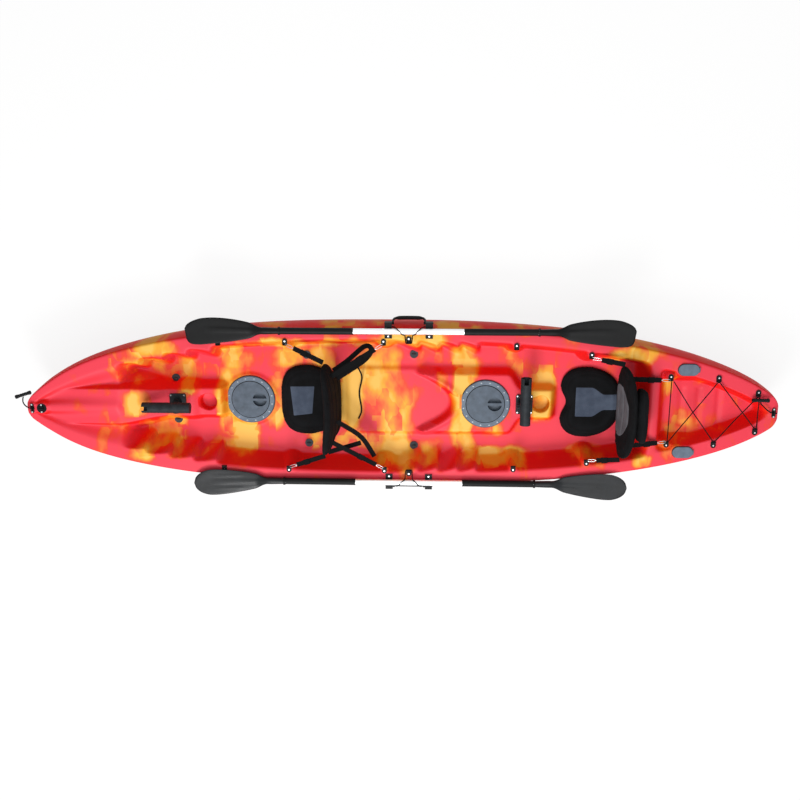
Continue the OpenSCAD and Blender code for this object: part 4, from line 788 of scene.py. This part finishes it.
def puff(piece, cap):
    """Remesh to even quads, blow up as cloth, keep each move below cap millimetres, and hold the result."""
    even = piece.modifiers.new("even", "REMESH")
    even.mode, even.voxel_size = "VOXEL", voxel
    settle(piece)
    mesh = piece.data
    cloth = piece.modifiers.new("cloth", "CLOTH").settings
    cloth.use_pressure, cloth.uniform_pressure_force, cloth.quality = True, pressure, 4
    cloth.effector_weights.gravity = 0
    cloth.tension_stiffness = cloth.compression_stiffness = 25
    for number in range(1, cloth_frames + 1):
        scene.frame_set(number)
    done = places(piece.evaluated_get(bpy.context.evaluated_depsgraph_get()).data)
    piece.modifiers.clear()
    scene.frame_set(1)
    move = (done - places(mesh))/mm
    far = np.linalg.norm(move, axis=1)[:, None]
    shift(piece, move*np.minimum(1, cap/np.maximum(far, 1e-6)))
    mesh.polygons.foreach_set("use_smooth", np.ones(len(mesh.polygons), bool))
    mesh.update()
    fine = piece.modifiers.new("fine", "SUBSURF")
    fine.levels = fine.render_levels = 1

def rounded(n, power, first=np.pi/2):
    """x and y of a superellipse |x|^power + |y|^power = 1, at n angles from the first."""
    a = first + 2*np.pi*(np.arange(n) + 0.5)/n
    c, s = np.cos(a), np.sin(a)
    r = (np.abs(c)**power + np.abs(s)**power)**(-1/power)
    return r*c, r*s

def inside_panel(p, corners):
    """Signed distance to a convex outline: the least of the distances to its sides."""
    c = np.array(corners, float)
    step = np.roll(c, -1, 0) - c
    normal = grid(-step[:, 1], step[:, 0])/np.linalg.norm(step, axis=1)[:, None]
    return ((p[:, None] - c)*normal).sum(-1).min(1)

def shift(piece, move):
    """Moves the vertices by an array in millimetres."""
    piece.data.vertices.foreach_set("co", (places(piece.data) + move*mm).astype(np.float32).ravel())
    piece.data.update()

# %% Seat pads
def seat_pad(name, x0, notch):
    """Rings of a superellipse of power 3, drawn in to the back, crowned by sqrt(1 - f^5)."""
    rise = np.linspace(0.985, 0.03, 30)
    f = np.concatenate([np.linspace(0.04, 0.9, 10), [0.96, 0.985, 0.99], rise])[:, None]
    level = np.concatenate([np.full(10, 1.5), [3, 6, 9.5], np.maximum(10, 29*np.sqrt(1 - rise**5))])
    c, s = rounded(120, 3)
    px, py = f*c*161, f*s*192
    px = px - notch*f*bell(py/60)*sat(px/330*4)
    py = py*(1 - 0.2*f*sat(-px/165))
    p = grid(px + x0 + 165, py, level[:, None] + floor_z + 0.3)
    return surface(name, p*mm, pad_cloth, None)

def front_panel(p):
    """A panel with four straight sides."""
    return inside_panel(p[:, :2], [(434, -76), (557, -74), (543, 80), (448, 68)])

def rear_panel(p):
    """A panel that narrows towards the back."""
    waist = 76 - 36*ease((-965 - p[:, 0])/70)
    return np.minimum(waist - np.abs(p[:, 1] + 6), np.minimum(-888 - p[:, 0], p[:, 0] + 1140))

for name, x0, notch, panel, node in (("front_cushion", 289, 0, front_panel, "front_seat_pad"),
                                     ("rear_cushion", -1124, 36, rear_panel, "rear_seat_pad")):
    piece = seat_pad(name, x0, notch)
    puff(piece, 5)
    spot = places(piece.data)/mm
    mark(piece, "panel_mm", panel(spot))
    shift(piece, np.maximum(0, floor_z + 0.4 - spot[:, 2:])*[0, 0, 1])
    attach(piece, "boat")
    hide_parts(node)
print("pads made")

# %% [markdown]
# A backrest is a curved wing of foam: narrow at its foot, wide at its shoulders, wrapped round the
# paddler. Three sewn channels cross it. The rear one has a pale panel on its front.

# %% Backrests
hinge, back_h = 169.2, 275

def bend(x0, lean, y, up):
    """Middle of a backrest at the share up of its height: it leans, and its wings come forward."""
    return x0 - 20 + 34*(y/235)**2*ease(up/0.35) + up*back_h*np.tan(np.radians(lean))

def backrest(name, x0, lean):
    """Ring at height s: a superellipse of power 4, bent forward by 34(y/235)² at the wings."""
    s = np.concatenate([np.linspace(0, 0.06, 5), np.linspace(0.08, 0.92, 34), np.linspace(0.94, 1, 5)])
    s = s[:, None]
    c, n = rounded(96, 4)
    wide = 233*(0.62 + 0.38*ease(s/0.6))*(1 - 0.35*s**8)*np.sqrt(np.maximum(0.02, 1 - ((2*s - 1)**2)**7))
    thick = 18.5*(1 - 0.75*(2*s - 1)**6)
    y = n*wide
    p = grid(bend(x0, lean, y, s) + c*thick, y, 170.2 + s*273)
    return surface(name, p*mm, back_cloth, None)

backs = {"front": (329, 8), "rear": (-1084, -8)}
for name, x0, lean, body, node in (("front_back_cushion", *backs["front"], "front_back", "front_backrest"),
                                   ("rear_back_cushion", *backs["rear"], "rear_back", "rear_backrest")):
    piece = backrest(name, x0, lean)
    puff(piece, 4)
    spot = places(piece.data)/mm
    up = (spot[:, 2] - hinge)/back_h
    seams = sum(bell((up - at)/0.025) for at in (0.3, 0.55, 0.8))*ease((205 - np.abs(spot[:, 1]))/20)
    front = spot[:, 0] - bend(x0, lean, spot[:, 1], up)
    shift(piece, -3.5*(seams*np.sign(front))[:, None]*[1, 0, 0])
    oval = 130*np.sqrt(np.maximum(0, 1 - ((up - 0.42)/0.4)**2)) - np.abs(spot[:, 1])
    panel = np.minimum(oval, front - 4)
    mark(piece, "panel_mm", panel if "rear" in name else panel + no_panel)
    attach(piece, body)
    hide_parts(node)
print("backrests made")

# %% [markdown]
# Behind the rear seat hangs a zipped pocket: a soft box with rounded corners, which bulges in the
# middle and has a zip round its top.

# %% Pocket
c, n = rounded(96, 4, first=0)
s = np.linspace(0, 1, 40)[:, None]
round_off = np.maximum(0.03, 1 - np.abs(2*s - 1)**6)**0.5
lean = np.tan(np.radians(backs["rear"][1]))
pocket_x = backs["rear"][0] - 40 + lean*160 - 0.3 - 23
p = grid(pocket_x + c*21.5*round_off*(0.86 + 0.14*np.sin(np.pi*s)) + lean*120*s,
         n*132*(0.3 + 0.7*round_off), hinge + 162 + 114*s)
pocket = surface("rear_pocket_bag", p*mm, pad_cloth, None)
puff(pocket, 4)
spot = places(pocket.data)/mm
zip_line = bell((spot[:, 2] - hinge - 238)/2.5)*(spot[:, 0] < pocket_x - 14)
shift(pocket, 2.5*zip_line[:, None]*[1, 0, 0])
mark(pocket, "panel_mm", np.full(len(spot), no_panel))
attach(pocket, "rear_back")
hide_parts("rear_pocket")
print("pocket made")

# %% [markdown]
# Webbing runs from each backrest to the deck loops, through a buckle, and ends in a wire snap hook.
# A strap is a thin rounded strip swept along its run, with a little sag. The hooks stay on the boat.

# %% Straps, buckles and hooks
strap_w, strap_t, hook_len = 25, 2, 46

def strip(name, route, width, thick):
    """A flat section, width by thick, swept along the curve through the route."""
    path = curve(np.array(route, float)*mm, 0.006)
    w, t = width/2*mm, thick/2*mm
    half_section = np.array([(-w, -t*0.4), (-w*0.96, -t), (0, -t), (w*0.96, -t), (w, -t*0.4)])
    section = np.concatenate([half_section, -half_section])
    uv = grid(travelled(path)[:, None], section[:, 0])
    return surface(name, sweep(path, section), webbing, None, uv=uv)

def wire_hook(a, b):
    """A snap hook: a wire bent to a long oval, with a shank towards the strap."""
    ahead = unit(b - a)
    side = unit(np.cross([0, 0, 1], ahead))
    c, s = np.cos(angles(28))[:, None], np.sin(angles(28))[:, None]
    oval = a + ahead*(22 + 20.5*np.sign(c)*np.abs(c)**0.6) + side*(5.6*s)
    return [tube("oval", oval*mm, 3*mm, stainless, None, 10, 0.002, True),
            tube("shank", np.array([a + ahead*41, a + ahead*hook_len])*mm, 5*mm, stainless, None, 10, 0.002)]

def strap_pair(a, b):
    """A strap with a buckle on each side, from hook to backrest: the straps, their hooks and a start."""
    straps, hooks = [], []
    for side in (1, -1):
        p, q = np.array(a)*[1, side, 1], np.array(b)*[1, side, 1]
        ahead = unit(q - p)
        tip = p + ahead*hook_len
        straps.append(strip("run", [tip, tip + (q - tip)*0.5 - [0, 0, 1.5], q], strap_w, strap_t))
        mid = tip + (q - tip)*0.35
        buckle = [mid - ahead*15 + [0, 0, 1.5], mid + [0, 0, 3], mid + ahead*15 + [0, 0, 1.5]]
        straps.append(strip("keeper", buckle, 30, 4))
        hooks += wire_hook(p, q)
    return straps, hooks, tip

def hook_run(k, way, x0, lean, dx, reach):
    """From the leg of a deck loop to the backrest, as in the CAD."""
    end = np.array([x0 + np.tan(np.radians(lean))*170 + dx, reach, 169.175 + 170])
    leg = loops[k] + [way*np.sqrt(100 - 4.2**2), -17, 7.7]
    return leg - 7.5*unit(end - leg), end

front_loose = [(322, -190, 300), (250, -240, 285), (168, -306, 262), (136, -288, 258), (172, -236, 272),
               (304, -150, 296)]
crossing = [[(308, 70, 304), (192, 160, 272), (124, 262, 275)],
            [(352, 224, 330), (270, 207, 300), (192, 190, 275)]]
loose_ends = [strip("loose", route, strap_w, strap_t) for route in [front_loose, *crossing]]
for name, x0, lean, ks, dxs, reach in (("front", *backs["front"], (1, 2), (14, -24.3), 240.5),
                                       ("rear", *backs["rear"], (5, 6), (12, -24.3), 242.6)):
    runs = [hook_run(ks[0], -1, x0, lean, dxs[0], reach), hook_run(ks[1], 1, x0, lean, dxs[1], 170)]
    all_hooks = []
    for part_name, (hook_at, back_at) in zip(("fore", "aft"), runs):
        straps, hooks, tip = strap_pair(hook_at, back_at)
        all_hooks += hooks
        if (name, part_name) == ("front", "aft"):
            straps += loose_ends
        made = join(f"{name}_webbing_{part_name}", straps)
        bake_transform(made)
        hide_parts(f"{name}_seat_straps")
    made = join(f"{name}_wire_hooks", all_hooks)
    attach(made, "boat")
    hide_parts(f"{name}_seat_hooks")
thin_end = [(205, -205, 262), (190, -130, 190), (206, -40, 166), (196, 50, 164), (212, 98, 164)]
tail = strip("front_strap_tail", thin_end, 8, strap_t)
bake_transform(tail)
print("webbing made")

# %% [markdown]
# The stage is a pale floor under broad soft light, as in a studio. Towards the camera the floor and
# the world show plain white, and everything else still gets the ordinary light.

# %% Stage and light
def watched(tree):
    """1 for rays that see the backdrop straight, in a mirror or through glass, and 0 for the light itself."""
    way = add(tree, "LightPath", out=None)
    seen = way["Is Camera Ray"]
    for ray in ("Is Glossy Ray", "Is Transmission Ray"):
        seen = add(tree, "Math", {0: seen, 1: way[ray]}, operation="ADD", use_clamp=True)
    return seen

ground, tree, skin, _ = start("matt_studio_floor")
feed(tree, skin, {"Roughness": 0.9, "Base Color": linear("#B4B4B4")})
glow = add(tree, "Emission", {"Color": (1, 1, 1, 1), "Strength": 1.22})
part = add(tree, "Math", {0: watched(tree), 1: 0.7}, operation="MULTIPLY")
blended = add(tree, "MixShader", {0: part, 1: skin.outputs[0], 2: glow})
feed(tree, tree.nodes["Material Output"], {"Surface": blended})
reach, under = 9, -0.0005
corners = [[(x, y, under) for x in (-reach, reach)] for y in (-reach, reach)]
floor = surface("floor", np.array(corners), ground, None, round_=False, caps=False)

world = bpy.data.worlds.new("studio")
scene.world = world
world.use_nodes = True
tree = world.node_tree
shown = add(tree, "Math", {0: watched(tree), 1: 0.6, 2: 0.5}, operation="MULTIPLY_ADD")
feed(tree, tree.nodes["Background"], {"Color": (1, 1, 1, 1), "Strength": shown})
for name, at, size, power in (("softbox", (0, 1.6, 5.2), 4.0, 140), ("key", (0.6, 3.2, 4.0), 1.6, 170)):
    lamp = bpy.data.objects.new(name, bpy.data.lights.new(name, "AREA"))
    lamp.data.size, lamp.data.energy = size, power
    back = unit(at)
    flat = unit(np.cross((0, 0, 1), back))
    stand(lamp, flat, np.cross(back, flat), back, at)
print("stage ready")
